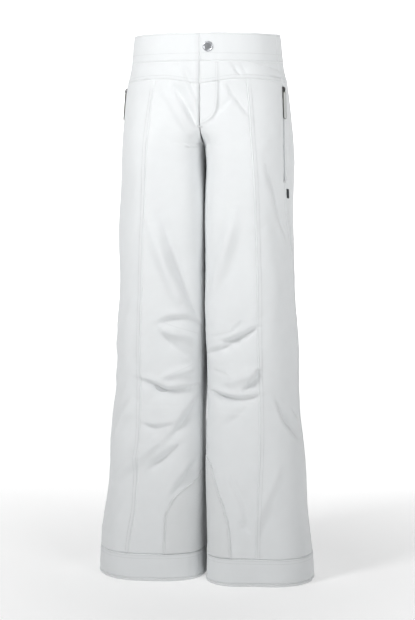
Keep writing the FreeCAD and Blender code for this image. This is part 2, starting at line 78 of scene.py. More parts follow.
# Heights with the half width and the depths ahead of and behind the middle.
STATIONS = [
    (BACK_RISE, 134.0, 99.0, 107.0),
    (0.0, 136.0, 100.0, 108.0),
    (-47.0, 141.0, 101.0, 114.0),
    (-85.0, 149.0, 102.0, 121.0),
    (-130.0, 154.5, 103.0, 127.0),
    (-180.0, 158.5, 103.0, 128.0),
    (-240.0, 160.7, 101.0, 119.0),
    (-300.0, 161.7, 98.0, 108.0),
    (-400.0, 164.5, 94.0, 96.0),
    (-560.0, 169.0, 90.0, 87.0),
    (-700.0, 179.0, 87.0, 86.0),
    (-850.0, 195.0, 88.0, 91.0),
    (-950.0, 204.5, 90.0, 95.0),
    (HEM_Z, 206.5, 91.0, 96.0),
]
OUTER_POWER = 2.15
INNER_POWER = [(-95.0, 2.2), (-200.0, 3.8), (-400.0, 3.8), (-600.0, 3.2), (HEM_Z, 2.8)]
INSEAM_AHEAD = [(CROTCH_Z, 0.0), (-300.0, 16.0), (-500.0, 28.0), (HEM_Z, 28.0)]
STANCE = {LEFT: [(CROTCH_Z, 0.0), (HEM_Z, -12.0)], RIGHT: [(CROTCH_Z, 0.0), (HEM_Z, 4.0)]}
PRINCESS = {
    LEFT: [(-60, 82), (-130, 88), (-220, 95), (-380, 102),
           (-560, 105), (-730, 109), (-840, 106), (-950, 103)],
    RIGHT: [(-60, 83), (-130, 91), (-220, 97), (-380, 106),
            (-560, 113), (-750, 117), (-860, 124), (-950, 136)],
}


class Profile:
    """One column of a table of heights, smooth from row to row and level past its ends."""

    def __init__(self, table, column=1):
        rows = sorted((row[0], row[column]) for row in table)
        self.z = np.array([row[0] for row in rows], float)
        self.value = np.array([row[1] for row in rows], float)
        rise = np.diff(self.value) / np.diff(self.z)
        self.slope = np.zeros(len(rows))
        for i in range(1, len(rows) - 1):
            if rise[i - 1] * rise[i] > 0:
                self.slope[i] = 2 * rise[i - 1] * rise[i] / (rise[i - 1] + rise[i])

    def __call__(self, z):
        z = np.clip(np.asarray(z, float), self.z[0], self.z[-1])
        i = np.clip(np.searchsorted(self.z, z, side="right") - 1, 0, len(self.z) - 2)
        step = self.z[i + 1] - self.z[i]
        t = (z - self.z[i]) / step
        return (
            self.value[i] * (1 + 2 * t) * (1 - t) ** 2
            + self.value[i + 1] * t * t * (3 - 2 * t)
            + self.slope[i] * step * t * (1 - t) ** 2
            + self.slope[i + 1] * step * t * t * (t - 1)
        )


def together(*values):
    """The values as float arrays of one shape."""
    return np.broadcast_arrays(*(np.asarray(v, float) for v in values))


HALF_WIDTH, FRONT_DEPTH, BACK_DEPTH = (Profile(STATIONS, k) for k in (1, 2, 3))
POWER_IN = Profile(INNER_POWER)
INSEAM = Profile(INSEAM_AHEAD)
STAND = {side: Profile(rows) for side, rows in STANCE.items()}
SIDE_SEAM = {
    LEFT: [(ZIP_TOP_Z, 0.80), (-260, 0.81), (-420, 0.90), (-600, 0.93)],
    RIGHT: [(ZIP_TOP_Z, 0.93), (-600, 0.93)],
}
PRINCESS_X = {side: Profile(rows) for side, rows in PRINCESS.items()}
SIDE_SEAM_TURN = {side: Profile(rows) for side, rows in SIDE_SEAM.items()}


def smoothstep(t):
    t = np.clip(t, 0.0, 1.0)
    return t * t * (3 - 2 * t)


def section(z, inset):
    """One side's oval at a height: its middle, half width, front and back depth."""
    half, front, back = (f(z) - inset for f in (HALF_WIDTH, FRONT_DEPTH, BACK_DEPTH))
    crotch = CROTCH_Z + np.maximum(0.0, inset)
    rounded = np.clip((z - CROTCH_Z) / np.maximum(inset, 0.1), 0, 1)
    above = -half * smoothstep((z - crotch) / (HIP_SPLIT_Z - crotch))
    below = LEG_GAP * smoothstep((crotch - z) / 40.0) + inset * np.sqrt(1 - rounded**2)
    inner = np.where(z > crotch, above, below)
    return (half + inner) / 2, (half - inner) / 2, front, back


def place(side, turn, z, inset=0.0):
    """Points on the cloth's base shape, or inset below it, with xyz last."""
    turn, z, inset = together(turn, z, inset)
    middle, half, front, back = section(z, inset)
    above = z > CROTCH_Z + np.maximum(0.0, inset)
    share = np.clip(middle / half, 0, 1)
    power = POWER_IN(z)
    hip = np.arctan2(share, np.maximum(0, 1 - share**power) ** (1 / power))
    inner = np.where(above, hip, math.pi / 2 - np.radians(INSEAM(z)))
    end = np.where(above, math.pi + inner, 2 * math.pi - inner)
    ahead_angle = -inner + turn * (math.pi / 2 + inner)
    angle = np.where(turn <= 1, ahead_angle, math.pi / 2 + (turn - 1) * (end - math.pi / 2))
    across, ahead = np.sin(angle), np.cos(angle)
    power = np.where(across > 0, OUTER_POWER, power)
    reach = (np.abs(across) ** power + np.abs(ahead) ** power) ** (-1 / power)
    depth = np.where(ahead > 0, front, back)
    x = side * np.maximum(MIDDLE_GAP, middle + half * reach * across)
    return np.stack([x, STAND[side](z) - depth * reach * ahead, z], -1)


def unit(v):
    return v / np.maximum(np.linalg.norm(v, axis=-1, keepdims=True), 1e-9)


def outward(side, turn, z):
    """Unit normals that point out of the pants."""
    turn, z = together(turn, z)
    low, high = turn - 0.01, turn + 0.01
    hip = z > CROTCH_Z
    low, high = np.where(hip, np.maximum(low, 0), low), np.where(hip, np.minimum(high, 2), high)
    along = place(side, high, z) - place(side, low, z)
    down = place(side, turn, z - 2) - place(side, turn, z + 2)
    return unit(np.cross(down, along)) * side


def millimetres_per_turn(side, turn, z):
    step = 0.01
    return np.linalg.norm(place(side, turn + step, z) - place(side, turn - step, z), axis=-1) / (2 * step)


def across(x, z, inset=0.0, behind=False):
    """Points at distances across from the middle, on the front or the back."""
    x, z = together(x, z)
    middle, half, front, back = section(z, inset)
    share = (np.abs(x) - middle) / half
    power = np.where(share > 0, OUTER_POWER, POWER_IN(z))
    reach = np.maximum(0, 1 - np.abs(share) ** power) ** (1 / power)
    y = np.where(x > 0, STAND[LEFT](z), STAND[RIGHT](z))
    y = y + (back * reach if behind else -front * reach)
    return np.stack([x, y, z], -1)


def turn_at(side, x, z):
    """The turn on the front at a distance from the middle."""
    x, z = together(x, z)
    low, high = np.zeros(x.shape), np.ones(x.shape)
    for _ in range(30):
        turn = (low + high) / 2
        short = np.abs(place(side, turn, z)[..., 0]) < x
        low, high = np.where(short, turn, low), np.where(short, high, turn)
    return low


def princess(side, z):
    return turn_at(side, PRINCESS_X[side](z), z)


def band_top(turn):
    return BAND_TOP_Z + BACK_RISE * smoothstep((np.asarray(turn, float) - 0.7) / 1.1)


def band_bottom(turn):
    return band_top(turn) - BAND_DEPTH


def yoke_z(turn):
    turn = np.asarray(turn, float)
    ahead = -75.5 - 8.0 * (1 - smoothstep(turn / 0.3)) - 5.0 * smoothstep((turn - 0.4) / 0.5)
    behind = -80.5 - 38.0 * smoothstep(turn - 1)
    return np.where(turn <= 1, ahead, behind)


class PocketLine:
    """The straight line that a pocket's slider runs on, and the directions across and out of it."""

    def __init__(self, side):
        self.side = side
        middle = (ZIP_TOP_Z + ZIP_BOTTOM_Z) / 2
        self.top = place(side, SIDE_SEAM_TURN[side](ZIP_TOP_Z), ZIP_TOP_Z)
        bottom = place(side, SIDE_SEAM_TURN[side](ZIP_BOTTOM_Z), ZIP_BOTTOM_Z)
        self.length = float(np.linalg.norm(bottom - self.top))
        self.down = unit(bottom - self.top)
        out = outward(side, SIDE_SEAM_TURN[side](middle), middle)
        self.out = unit(out - self.down * (out @ self.down))
        self.wide = np.cross(self.out, self.down)

    def at(self, along, wide, out):
        along, wide, out = together(along, wide, out)
        along_and_wide = along[..., None] * self.down + wide[..., None] * self.wide
        return self.top + along_and_wide + out[..., None] * self.out

    def local(self, points):
        offset = points - self.top
        return offset @ self.down, offset @ self.wide, offset @ self.out


POCKET = {side: PocketLine(side) for side in (LEFT, RIGHT)}


def seam_beside_zipper(side):
    """The side seam's turn by height: straight along the pocket zipper, and as listed below it."""
    z = np.linspace(ZIP_TOP_Z, ZIP_BOTTOM_Z, 28)
    low = SIDE_SEAM_TURN[side](z) - 0.1
    high = low + 0.2
    for _ in range(30):
        turn = (low + high) / 2
        past = side * POCKET[side].local(place(side, turn, z))[1] > 0
        low, high = np.where(past, low, turn), np.where(past, turn, high)
    return Profile(list(zip(z, low)) + [row for row in SIDE_SEAM[side] if row[0] < ZIP_BOTTOM_Z])


SIDE_SEAM_TURN = {side: seam_beside_zipper(side) for side in (LEFT, RIGHT)}

# ---------------------------------------------------------------- folds

# Each fold: half width and height in mm (below 0 for a hollow), lean (how much of a roll stands
# beside it, to the right or left of its run), and the points it runs through as (turn, height).
FOLDS = {
    RIGHT: [
        (7, -3.4, 0.5, [(0.22, -84), (0.15, -106), (0.08, -135), (0.01, -168)]),
        (6, -2.6, 0.5, [(0.15, -50), (0.10, -70), (0.05, -96), (0.01, -124)]),
        (9, 2.4, 0.0, [(0.30, -92), (0.21, -120), (0.13, -152), (0.05, -184)]),
        (11, -4.2, 0.4, [(0.42, -318), (0.31, -375), (0.22, -429), (0.14, -472), (0.05, -518)]),
        (13, 3.6, 0.0, [(0.50, -330), (0.39, -386), (0.29, -440), (0.20, -485)]),
        (8, -3.4, -0.5, [(0.38, -517), (0.27, -511), (0.14, -510), (0.03, -522)]),
        (9, 3.0, 0.0, [(0.36, -530), (0.22, -537), (0.06, -552)]),
        (11, -3.0, 0.0, [(0.39, -527), (0.27, -556), (0.10, -584)]),
        (8, 3.2, 0.0, [(0.36, -620), (0.22, -608), (0.07, -600)]),
        (8, -5.2, -0.6, [(0.55, -622), (0.42, -632), (0.32, -643), (0.20, -641), (0.03, -636)]),
        (7, -3.0, -0.5, [(0.50, -706), (0.38, -713), (0.25, -704)]),
        (12, 3.4, 0.0, [(0.58, -655), (0.66, -694), (0.77, -736)]),
        (12, -3.6, 0.4, [(0.03, -655), (0.15, -694), (0.30, -740)]),
        (9, -3.4, 0.5, [(0.20, -742), (0.30, -766), (0.42, -790)]),
        (9, -3.0, 0.5, [(0.06, -770), (0.15, -804), (0.25, -838)]),
        (14, 3.8, 0.0, [(0.30, -722), (0.50, -766), (0.76, -820)]),
    ],
    LEFT: [
        (4, -1.3, 0.5, [(0.25, -46), (0.29, -57), (0.33, -72)]),
        (4, -1.1, 0.5, [(0.33, -46), (0.38, -67)]),
        (8, -2.2, 0.4, [(0.20, -80), (0.28, -110), (0.40, -142)]),
        (5, -1.8, 0.3, [(0.15, -134), (0.24, -110)]),
        (3, -1.2, 0.4, [(0.46, -46), (0.62, -52), (0.95, -63)]),
        (3, -1.0, 0.4, [(0.58, -66), (0.85, -72)]),
        (14, 4.0, 0.0, [(0.38, -305), (0.27, -380), (0.12, -465)]),
        (11, -3.0, 0.4, [(0.65, -235), (0.73, -300), (0.82, -370)]),
        (7, -5.0, -0.5, [(0.20, -552), (0.30, -547), (0.38, -538), (0.50, -522)]),
        (4, -2.0, -0.4, [(0.27, -535), (0.38, -510)]),
        (6, -3.0, -0.4, [(0.05, -573), (0.19, -564), (0.29, -554)]),
        (10, 3.4, 0.0, [(0.22, -626), (0.37, -613), (0.52, -597)]),
        (7, -4.6, -0.6, [(0.06, -643), (0.20, -651), (0.34, -655), (0.50, -647)]),
        (6, -3.2, -0.5, [(0.36, -640), (0.45, -622), (0.51, -600)]),
        (9, -2.4, -0.3, [(0.18, -708), (0.30, -689), (0.40, -666)]),
        (9, -3.6, 0.4, [(0.64, -655), (0.73, -696), (0.84, -732)]),
        (6, -2.2, 0.4, [(0.82, -675), (0.92, -700)]),
        (8, -2.0, 0.0, [(0.30, -880), (0.36, -898)]),
        (10, 2.6, 0.0, [(0.62, -780), (0.48, -850), (0.40, -915)]),
        (9, -2.4, 0.3, [(0.24, -790), (0.34, -850), (0.36, -905)]),
    ],
}
# Folds that both sides have behind and on the inner side, where the cloth hangs from the seat.
BACK_FOLDS = [
    (14, -4.0, 0.4, [(1.92, -205), (1.78, -232), (1.60, -240), (1.42, -228)]),
    (9, -2.6, 0.3, [(1.95, -240), (1.80, -275), (1.60, -296)]),
    (12, 3.0, 0.0, [(1.45, -270), (1.62, -350), (1.70, -430)]),
    (10, -2.8, 0.4, [(1.30, -500), (1.50, -522), (1.72, -512)]),
    (9, -3.0, 0.5, [(1.28, -560), (1.48, -584), (1.70, -574)]),
    (10, 2.8, 0.0, [(1.35, -600), (1.55, -615), (1.78, -600)]),
    (9, -3.2, 0.5, [(1.20, -640), (1.42, -668), (1.62, -700)]),
    (11, -2.6, 0.3, [(1.70, -660), (1.52, -730), (1.30, -780)]),
    (12, 3.0, 0.0, [(1.15, -740), (1.40, -800), (1.62, -850)]),
    (10, -2.6, 0.4, [(1.25, -860), (1.50, -900), (1.72, -925)]),
    (9, -1.8, 0.3, [(1.10, -160), (1.30, -190), (1.50, -200)]),
    (9, -2.2, 0.3, [(1.02, -420), (1.12, -520), (1.08, -600)]),
]


def curve_through(points, count):
    """A smooth line through a few points, evenly run from first to last."""
    points = np.array(points, float)
    if len(points) == 2:
        t = np.linspace(0, 1, count)[:, None]
        return points[0] + (points[1] - points[0]) * t
    padded = np.vstack([2 * points[0] - points[1], points, 2 * points[-1] - points[-2]])
    s = np.linspace(0, len(points) - 1 - 1e-9, count)
    i = s.astype(int)
    t = (s - i)[:, None]
    a, b, c, d = (padded[i + k] for k in range(4))
    return 0.5 * (2 * b + (c - a) * t + (2 * a - 5 * b + 4 * c - d) * t**2 + (3 * b - a - 3 * c + d) * t**3)


class Fold:
    """A ridge or hollow in the cloth, as a line in space that nearby points measure from."""

    def __init__(self, side, width, height, lean, points, seed):
        self.width, self.height, self.lean = width, height, lean
        run = curve_through(points, 48)
        self.line = place(side, run[:, 0], run[:, 1])
        normal = outward(side, run[:, 0], run[:, 1])
        self.across = unit(np.cross(np.gradient(self.line, axis=0), normal))
        t = np.linspace(0, 1, len(self.line))
        wander = np.random.default_rng(seed)
        self.strength = np.sin(math.pi * np.clip(t, 0.02, 0.98)) ** 0.65
        self.strength *= 1 + 0.16 * np.sin(t * 9 + wander.uniform(0, 6))
        self.spread = 0.75 + 0.35 * np.sin(math.pi * t) + 0.08 * np.sin(t * 13 + wander.uniform(0, 6))
        self.low = self.line.min(0) - 4.2 * width
        self.high = self.line.max(0) + 4.2 * width

    def push(self, points):
        """How far the fold moves each of these points along the cloth's normal."""
        near = np.all((points > self.low) & (points < self.high), axis=-1)
        moved = np.zeros(len(points))
        index = np.nonzero(near)[0]
        for chunk in np.array_split(index, max(1, len(index) // 20000)):
            if not len(chunk):
                continue
            gap = points[chunk, None, :] - self.line[None]
            distance = (gap**2).sum(-1)
            nearest = distance.argmin(1)
            rows = np.arange(len(chunk))
            far = np.sqrt(distance[rows, nearest])
            width = self.width * self.spread[nearest]
            signed = (gap[rows, nearest] * self.across[nearest]).sum(-1) / width
            if self.height < 0:
                gentle = np.where(signed * self.lean < 0, 1 + 2 * abs(self.lean), 1.0)
                body = np.exp(-1.5 * (np.sqrt((far / width / gentle) ** 2 + 0.03) - 0.17))
            else:
                body = np.exp(-((far / width) ** 2))
            beside = np.exp(-(((signed - 1.5 * np.sign(self.lean)) / 1.0) ** 2) - (far / width / 2.6) ** 2)
            moved[chunk] = self.height * self.strength[nearest] * (body - abs(self.lean) * 0.95 * beside)
        return moved


J_STITCH = [(35.0, -45.5), (35.2, -75.0), (35.0, -105.0), (33.5, -127.0), (26.0, -144.0),
            (13.0, -154.0), (1.0, -158.0)]
# Seams sewn across a panel at the knee, as (turn, height).
DARTS = {
    RIGHT: [[(0.34, -521), (0.22, -530), (0.05, -543)], [(0.33, -623), (0.22, -609), (0.08, -597)]],
    LEFT: [[(0.10, -543), (0.22, -538), (0.30, -533)], [(0.09, -604), (0.20, -609), (0.27, -616)]],
}


def all_folds():
    folds = {LEFT: [], RIGHT: []}
    seed = 1
    for side in (LEFT, RIGHT):
        for width, height, lean, points in FOLDS[side]:
            strong = 2.7 if abs(height) >= 3 else 2.0
            folds[side].append(Fold(side, width * 0.9, height * strong, lean, points, seed))
            seed += 1
        for points in DARTS[side]:
            folds[side].append(Fold(side, 3.0, -1.3, 0.0, points, seed))
            seed += 1
        if side == LEFT:
            points = [(float(turn_at(LEFT, x, z)), z) for x, z in J_STITCH]
            folds[side].append(Fold(side, 2.8, -2.2, 0.8, points, seed))
            seed += 1
        shift = np.random.default_rng(40 + side)
        for width, height, lean, points in BACK_FOLDS:
            nudge = shift.uniform([-0.05, -14], [0.05, 14])
            moved = [(turn + nudge[0], z + nudge[1]) for turn, z in points]
            folds[side].append(Fold(side, width, height * shift.uniform(0.7, 1.2), lean, moved, seed))
            seed += 1
    return folds


ALL_FOLDS = all_folds()


class Ripple:
    """Smooth noise in space: a few waves in random directions."""

    def __init__(self, seed, wave, count=14, stretch=(1.0, 1.0, 1.0)):
        draw = np.random.default_rng(seed)
        direction = unit(draw.normal(size=(count, 3))) * np.array(stretch)
        self.waves = direction * (2 * math.pi / wave) * draw.uniform(0.7, 1.5, (count, 1))
        self.phase = draw.uniform(0, 2 * math.pi, count)
        self.size = math.sqrt(2 / count)

    def __call__(self, points):
        return np.sin(points @ self.waves.T + self.phase).sum(-1) * self.size


SWELL = Ripple(3, 150.0, stretch=(1, 1, 0.7))
CRUMPLE = Ripple(5, 34.0)
FINE = Ripple(6, 13.0)


def relief(side, points):
    """The cloth's rise above its base shape, in mm."""
    shape = points.shape[:-1]
    flat = points.reshape(-1, 3)
    rise = np.zeros(len(flat))
    for fold in ALL_FOLDS[side]:
        rise += fold.push(flat)
    loose = smoothstep((-flat[:, 2] - 90) / 160.0)
    rise += 2.1 * loose * SWELL(flat)
    rise += (0.10 + 0.22 * loose) * CRUMPLE(flat) * (0.6 + 0.4 * SWELL(flat * 0.6 + 50))
    rise += 0.05 * FINE(flat)
    return rise.reshape(shape)


def skin(side, turn, z, lift=0.0):
    """Points on the outside of the finished cloth, with their normals."""
    turn, z, lift = together(turn, z, lift)
    base = place(side, turn, z)
    normal = outward(side, turn, z)
    rise = relief(side, base) + lift
    line = POCKET[side]
    points = base + normal * rise[..., None]
    along, wide, out = line.local(points)
    inside = smoothstep((along + 12) / 14) * smoothstep((line.length + 16 - along) / 20)
    near = inside * smoothstep((15 - np.abs(wide)) / 9) * (out > -30)
    points = points - (np.maximum(out - 0.7 - lift, 0) * near)[..., None] * line.out
    touch = side * points[..., 0]
    low = z < CROTCH_Z - 5
    points[..., 0] = np.where(low & (touch < 0.9), side * (0.9 + 0.12 * (touch - 0.9)), points[..., 0])
    points[..., 0] = np.where(~low, side * np.maximum(side * points[..., 0], 0.05), points[..., 0])
    return points, normal


# ---------------------------------------------------------------- mesh making


def ringed(rings, sides, closed=False):
    """Faces over rings of points: capped at both ends, or closed round from last to first."""
    faces = []
    for i in range(rings if closed else rings - 1):
        step = ((i + 1) % rings - i) * sides
        for k in range(sides):
            a, b = i * sides + k, i * sides + (k + 1) % sides
            faces.append((a, b, b + step, a + step))
    if not closed:
        faces.append(tuple(range(sides - 1, -1, -1)))
        faces.append(tuple((rings - 1) * sides + k for k in range(sides)))
    return faces


class Shape:
    """Points and faces gathered into one mesh."""

    def __init__(self):
        self.points, self.faces, self.count = [], [], 0

    def add(self, points, faces):
        points = np.asarray(points, float).reshape(-1, 3)
        self.points.append(points)
        self.faces += [tuple(int(i) + self.count for i in face) for face in faces]
        self.count += len(points)

    def slab(self, outer, inner, wrap=False):
        """A closed sheet between two grids of points, with rounded edges."""
        rows, columns = outer.shape[:2]
        index = np.arange(rows * columns).reshape(rows, columns)
        across = np.arange(columns if wrap else columns - 1)
        a = index[:-1][:, across]
        b = index[:-1][:, (across + 1) % columns]
        c = index[1:][:, (across + 1) % columns]
        d = index[1:][:, across]
        top = np.stack([a, b, c, d], -1).reshape(-1, 4)
        under = top[:, ::-1] + rows * columns
        points = [outer.reshape(-1, 3), inner.reshape(-1, 3)]
        faces = [tuple(f) for f in top] + [tuple(f) for f in under]
        if wrap:
            loops = [index[0], index[-1][::-1]]
            beyond = [index[1], index[-2][::-1]]
        else:
            loops = [np.concatenate([index[0], index[1:, -1], index[-1, -2::-1], index[-2:0:-1, 0]])]
            neighbour = [index[1], index[1:, -2], index[-2, -2::-1], index[-2:0:-1, 1]]
            beyond = [np.concatenate(neighbour)]
        flat_out, flat_in = outer.reshape(-1, 3), inner.reshape(-1, 3)
        start = 2 * rows * columns
        for loop, back in zip(loops, beyond):
            thick = np.linalg.norm(flat_out[loop] - flat_in[loop], axis=-1, keepdims=True)
            away = unit(flat_out[loop] - flat_out[back])
            middle = (flat_out[loop] + flat_in[loop]) / 2 + away * thick * 0.42
            points.append(middle)
            n = len(loop)
            for i in range(n):
                j = (i + 1) % n
                faces.append((loop[j], loop[i], start + i, start + j))
                faces.append((start + j, start + i, loop[i] + rows * columns, loop[j] + rows * columns))
            start += n
        self.add(np.vstack(points), faces)

    def strip(self, path, across_it, width, thick):
        """A flat ribbon along a path."""
        path, across_it = np.asarray(path, float), np.asarray(across_it, float)
        normal = unit(np.cross(np.gradient(path, axis=0), across_it))
        steps = np.linspace(-width / 2, width / 2, max(4, int(width / 1.6)))
        grid = path[:, None] + steps[None, :, None] * across_it
        self.slab(grid + normal[:, None] * thick / 2, grid - normal[:, None] * thick / 2)

    def tube(self, path, radius, sides=10, closed=False, flat=1.0, normals=None):
        """A round tube along a path, or an oval one when flat isn't 1."""
        path = np.asarray(path, float)
        tangent = unit(np.gradient(path, axis=0))
        if closed:
            tangent = unit(np.roll(path, -1, 0) - np.roll(path, 1, 0))
        if normals is None:
            guide = np.array([0.0, 0.0, 1.0])
            if abs(tangent[0] @ guide) > 0.9:
                guide = np.array([1.0, 0.0, 0.0])
            normals = np.zeros_like(path)
            for i, t in enumerate(tangent):
                guide = unit(guide - t * (guide @ t))
                normals[i] = guide
        side = unit(np.cross(tangent, normals))
        up = unit(np.cross(side, tangent))
        radius = np.broadcast_to(np.asarray(radius, float), (len(path),))
        angle = np.linspace(0, 2 * math.pi, sides, endpoint=False)
        cosine, sine = np.cos(angle)[None, :, None], np.sin(angle)[None, :, None]
        ring = side[:, None] * cosine + up[:, None] * sine * flat
        points = (path[:, None] + ring * radius[:, None, None]).reshape(-1, 3)
        self.add(points, ringed(len(path), sides, closed))

    def beads(self, centres, along, up, length, width, height, ends=0.45):
        """Many small rounded bars: six-sided, drawn in to a smaller end each way."""
        along, up = unit(along), unit(up)
        side = unit(np.cross(up, along))
        angle = np.linspace(0, 2 * math.pi, 6, endpoint=False)
        wide, high = (np.cos(angle) * width / 2)[:, None], (np.sin(angle) * height / 2)[:, None]
        stations = ((-0.5, ends), (-0.3, 1.0), (0.3, 1.0), (0.5, ends))
        faces = ringed(len(stations), 6)
        for centre, a, u, s in zip(centres, along, up, side):
            ring = s * wide + u * high
            self.add(np.vstack([centre + a * length * step + ring * size for step, size in stations]), faces)

    def box(self, corner, size, axes=None, origin=None, bevel=0.3):
        """A block with chamfered edges, in its own axes if given."""
        low, high = np.array(corner, float), np.array(corner, float) + np.array(size, float)
        work = bmesh.new()
        bmesh.ops.create_cube(work, size=1.0)
        for v in work.verts:
            v.co = Vector(((low + high) / 2 + np.array(v.co) * (high - low)).tolist())
        bmesh.ops.bevel(work, geom=work.edges[:], offset=bevel, segments=2, affect="EDGES", profile=0.6)
        points = np.array([v.co for v in work.verts], float)
        faces = [tuple(v.index for v in f.verts) for f in work.faces]
        work.free()
        if axes is not None:
            points = np.array(origin) + points @ np.array(axes)
        self.add(points, faces)

    def lathe(self, profile, centre, axis, sides=48):
        """A round piece: profile is (radius, height along axis), from one end to the other."""
        axis = unit(np.array(axis, float))
        first = unit(np.cross(axis, [0.0, 0.0, 1.0] if abs(axis[2]) < 0.9 else [1.0, 0.0, 0.0]))
        second = np.cross(axis, first)
        angle = np.linspace(0, 2 * math.pi, sides, endpoint=False)
        ring = first * np.cos(angle)[:, None] + second * np.sin(angle)[:, None]
        points = np.vstack([np.array(centre) + ring * r + axis * h for r, h in profile])
        self.add(points, ringed(len(profile), sides))

    def piece(self, name, look, body="garment", slot=None, replaces=None, ride=True):
        """The finished object, riding on its body; it stands for the CAD node of its name unless told."""
        mesh = bpy.data.meshes.new(name)
        mesh.from_pydata((np.vstack(self.points) * MM).tolist(), [], self.faces)
        mesh.validate()
        mesh.polygons.foreach_set("use_smooth", [True] * len(mesh.polygons))
        work = bmesh.new()
        work.from_mesh(mesh)
        bmesh.ops.recalc_face_normals(work, faces=work.faces)
        work.to_mesh(mesh)
        work.free()
        mesh.materials.append(look)
        made = bpy.data.objects.new(f"{name}_piece", mesh)
        bpy.context.collection.objects.link(made)
        if ride:
            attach(made, body)
        stands_for = (name,) if replaces is None else replaces
        if stands_for:
            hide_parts(*stands_for)
        return made


def arc(points, axis):
    """The longest run along one axis of a grid of points."""
    return float(np.linalg.norm(np.diff(points, axis=axis), axis=-1).sum(axis).max())


def grid_area(points, wrap=False):
    if wrap:
        points = np.concatenate([points, points[:, :1]], 1)
    a = points[1:, 1:] - points[:-1, :-1]
    b = points[1:, :-1] - points[:-1, 1:]
    return float(np.linalg.norm(np.cross(a, b), axis=-1).sum() / 2)


def cut_cloth(points, wrap=False, folded=1.0):
    """Work out the size that a piece's own grid lays out flat, folded over if it is; the sizes are not used.
    """
    closed = np.concatenate([points, points[:, :1]], 1) if wrap else points
    wide, long = max(0.01, round(arc(closed, 1) * MM, 3)), max(0.01, round(folded * arc(closed, 0) * MM, 3))
    area = folded * grid_area(points, wrap) * MM * MM


def sewn(name, look, outer, inner, held="stretched", slot="shell", wrap=False, folded=1.0, **more):
    """A piece of cloth between two grids of points; the size that its outer grid has flat is worked out but
    not used.
    """
    shape = Shape()
    shape.slab(outer, inner, wrap=wrap)
    piece = shape.piece(name, look, slot=slot, **more)
    cut_cloth(outer, wrap=wrap, folded=folded)
    return piece


# ---------------------------------------------------------------- materials


def material(name, colour, rough, metal=0.0, sheen=0.0, sheen_rough=0.5, specular=0.5):
    made = bpy.data.materials.new(name)
    made.use_nodes = True
    shader = made.node_tree.nodes["Principled BSDF"]
    shader.inputs["Base Color"].default_value = (*colour, 1.0)
    shader.inputs["Roughness"].default_value = rough
    shader.inputs["Metallic"].default_value = metal
    shader.inputs["Sheen Weight"].default_value = sheen
    shader.inputs["Sheen Roughness"].default_value = sheen_rough
    shader.inputs["Specular IOR Level"].default_value = specular
    return made


def added(tree, kind, sources, values, **settings):
    """A new node: sources are the sockets that feed its inputs, values are the inputs it is given."""
    node = tree.nodes.new("ShaderNode" + kind)
    for name, setting in settings.items():
        setattr(node, name, setting)
    for key, value in values.items():
        node.inputs[key].default_value = value
    for key, socket in sources.items():
        tree.links.new(socket, node.inputs[key])
    return node.outputs


def woven(name, colour, rough=0.85, sheen=0.15, thread=0.0011, depth=0.12, mottle=0.03):
    """A cloth: a fine crossed weave raised by bump, and a faint mottling of its colour."""
    made = material(name, colour, rough, sheen=sheen, specular=0.25)
    tree = made.node_tree
    shader = tree.nodes["Principled BSDF"]
    where = {"Vector": added(tree, "TexCoord", {}, {})["Object"]}
    waves = []
    for turn in (45, -45):
        lean = (math.radians(turn), math.radians(turn * 0.8), 0)
        spun = added(tree, "Mapping", where, {"Rotation": lean})["Vector"]
        wave = {"Scale": 0.314 / thread / 2, "Distortion": 0.6, "Detail": 1.0}
        waves.append(added(tree, "TexWave", {"Vector": spun}, wave, wave_type="BANDS",
                           bands_direction="Z")["Fac"])
    crossed = added(tree, "Math", dict(enumerate(waves)), {}, operation="MULTIPLY")[0]
    grain = added(tree, "TexNoise", where, {"Scale": 420.0, "Detail": 3.0})["Fac"]
    both = added(tree, "Math", {0: crossed, 1: grain}, {}, operation="ADD")[0]
    bump = added(tree, "Bump", {"Height": both}, {"Strength": depth, "Distance": 0.0004})
    tree.links.new(bump["Normal"], shader.inputs["Normal"])
    patch = added(tree, "TexNoise", where, {"Scale": 38.0, "Detail": 4.0})["Fac"]
    ramp = added(tree, "ValToRGB", {"Fac": patch}, {})["Color"]
    for stop, position, share in zip(ramp.node.color_ramp.elements, (0.3, 0.7), (1 - mottle, 1 + mottle)):
        stop.position = position
        stop.color = (*(min(1.0, c * share) for c in colour), 1)
    tree.links.new(ramp, shader.inputs["Base Color"])
    return made


SHELL = woven("softshell", (0.765, 0.782, 0.79), mottle=0.01)
GUARD = woven("guard_cloth", (0.735, 0.75, 0.755), thread=0.0016, depth=0.2, mottle=0.01)
LINING = woven("lining_cloth", (0.63, 0.645, 0.655), rough=0.6, sheen=0.05, depth=0.05)
FACING = woven("facing_cloth", (0.71, 0.725, 0.735))
GAITER = woven("gaiter_cloth", (0.60, 0.63, 0.67), rough=0.6, depth=0.08)
ELASTIC = woven("elastic_cloth", (0.30, 0.32, 0.35), thread=0.002, depth=0.5)
TRIM = woven("binding_cloth", (0.75, 0.765, 0.77), thread=0.0008, depth=0.15, mottle=0.01)
RIBBON = woven("ribbon_cloth", (0.55, 0.57, 0.60), thread=0.0008, depth=0.3)
LABEL = woven("label_cloth", (0.78, 0.78, 0.78), rough=0.5, thread=0.0008)
DARK_TAB = woven("dark_tab_cloth", (0.035, 0.038, 0.042), thread=0.0008, depth=0.3)
TAPE = woven("zipper_tape", (0.60, 0.62, 0.64), thread=0.0009, depth=0.3)
THREAD = woven("thread", (0.63, 0.645, 0.65), rough=0.55, sheen=0.1, thread=0.0004)
COIL = material("zipper_coil", (0.58, 0.60, 0.62), 0.4)
SLIDER = material("slider_metal", (0.10, 0.10, 0.098), 0.42, metal=0.9)
LINK = material("link_wire", (0.16, 0.16, 0.155), 0.35, metal=1.0)
PULL = material("pull_rubber", (0.60, 0.615, 0.61), 0.5)
# The pull tab's rim is coloured near black as painted shade along the tab's edge.
PULL_EDGE_SHADE = material("pull_edge_painted_shade", (0.10, 0.105, 0.085), 0.5)
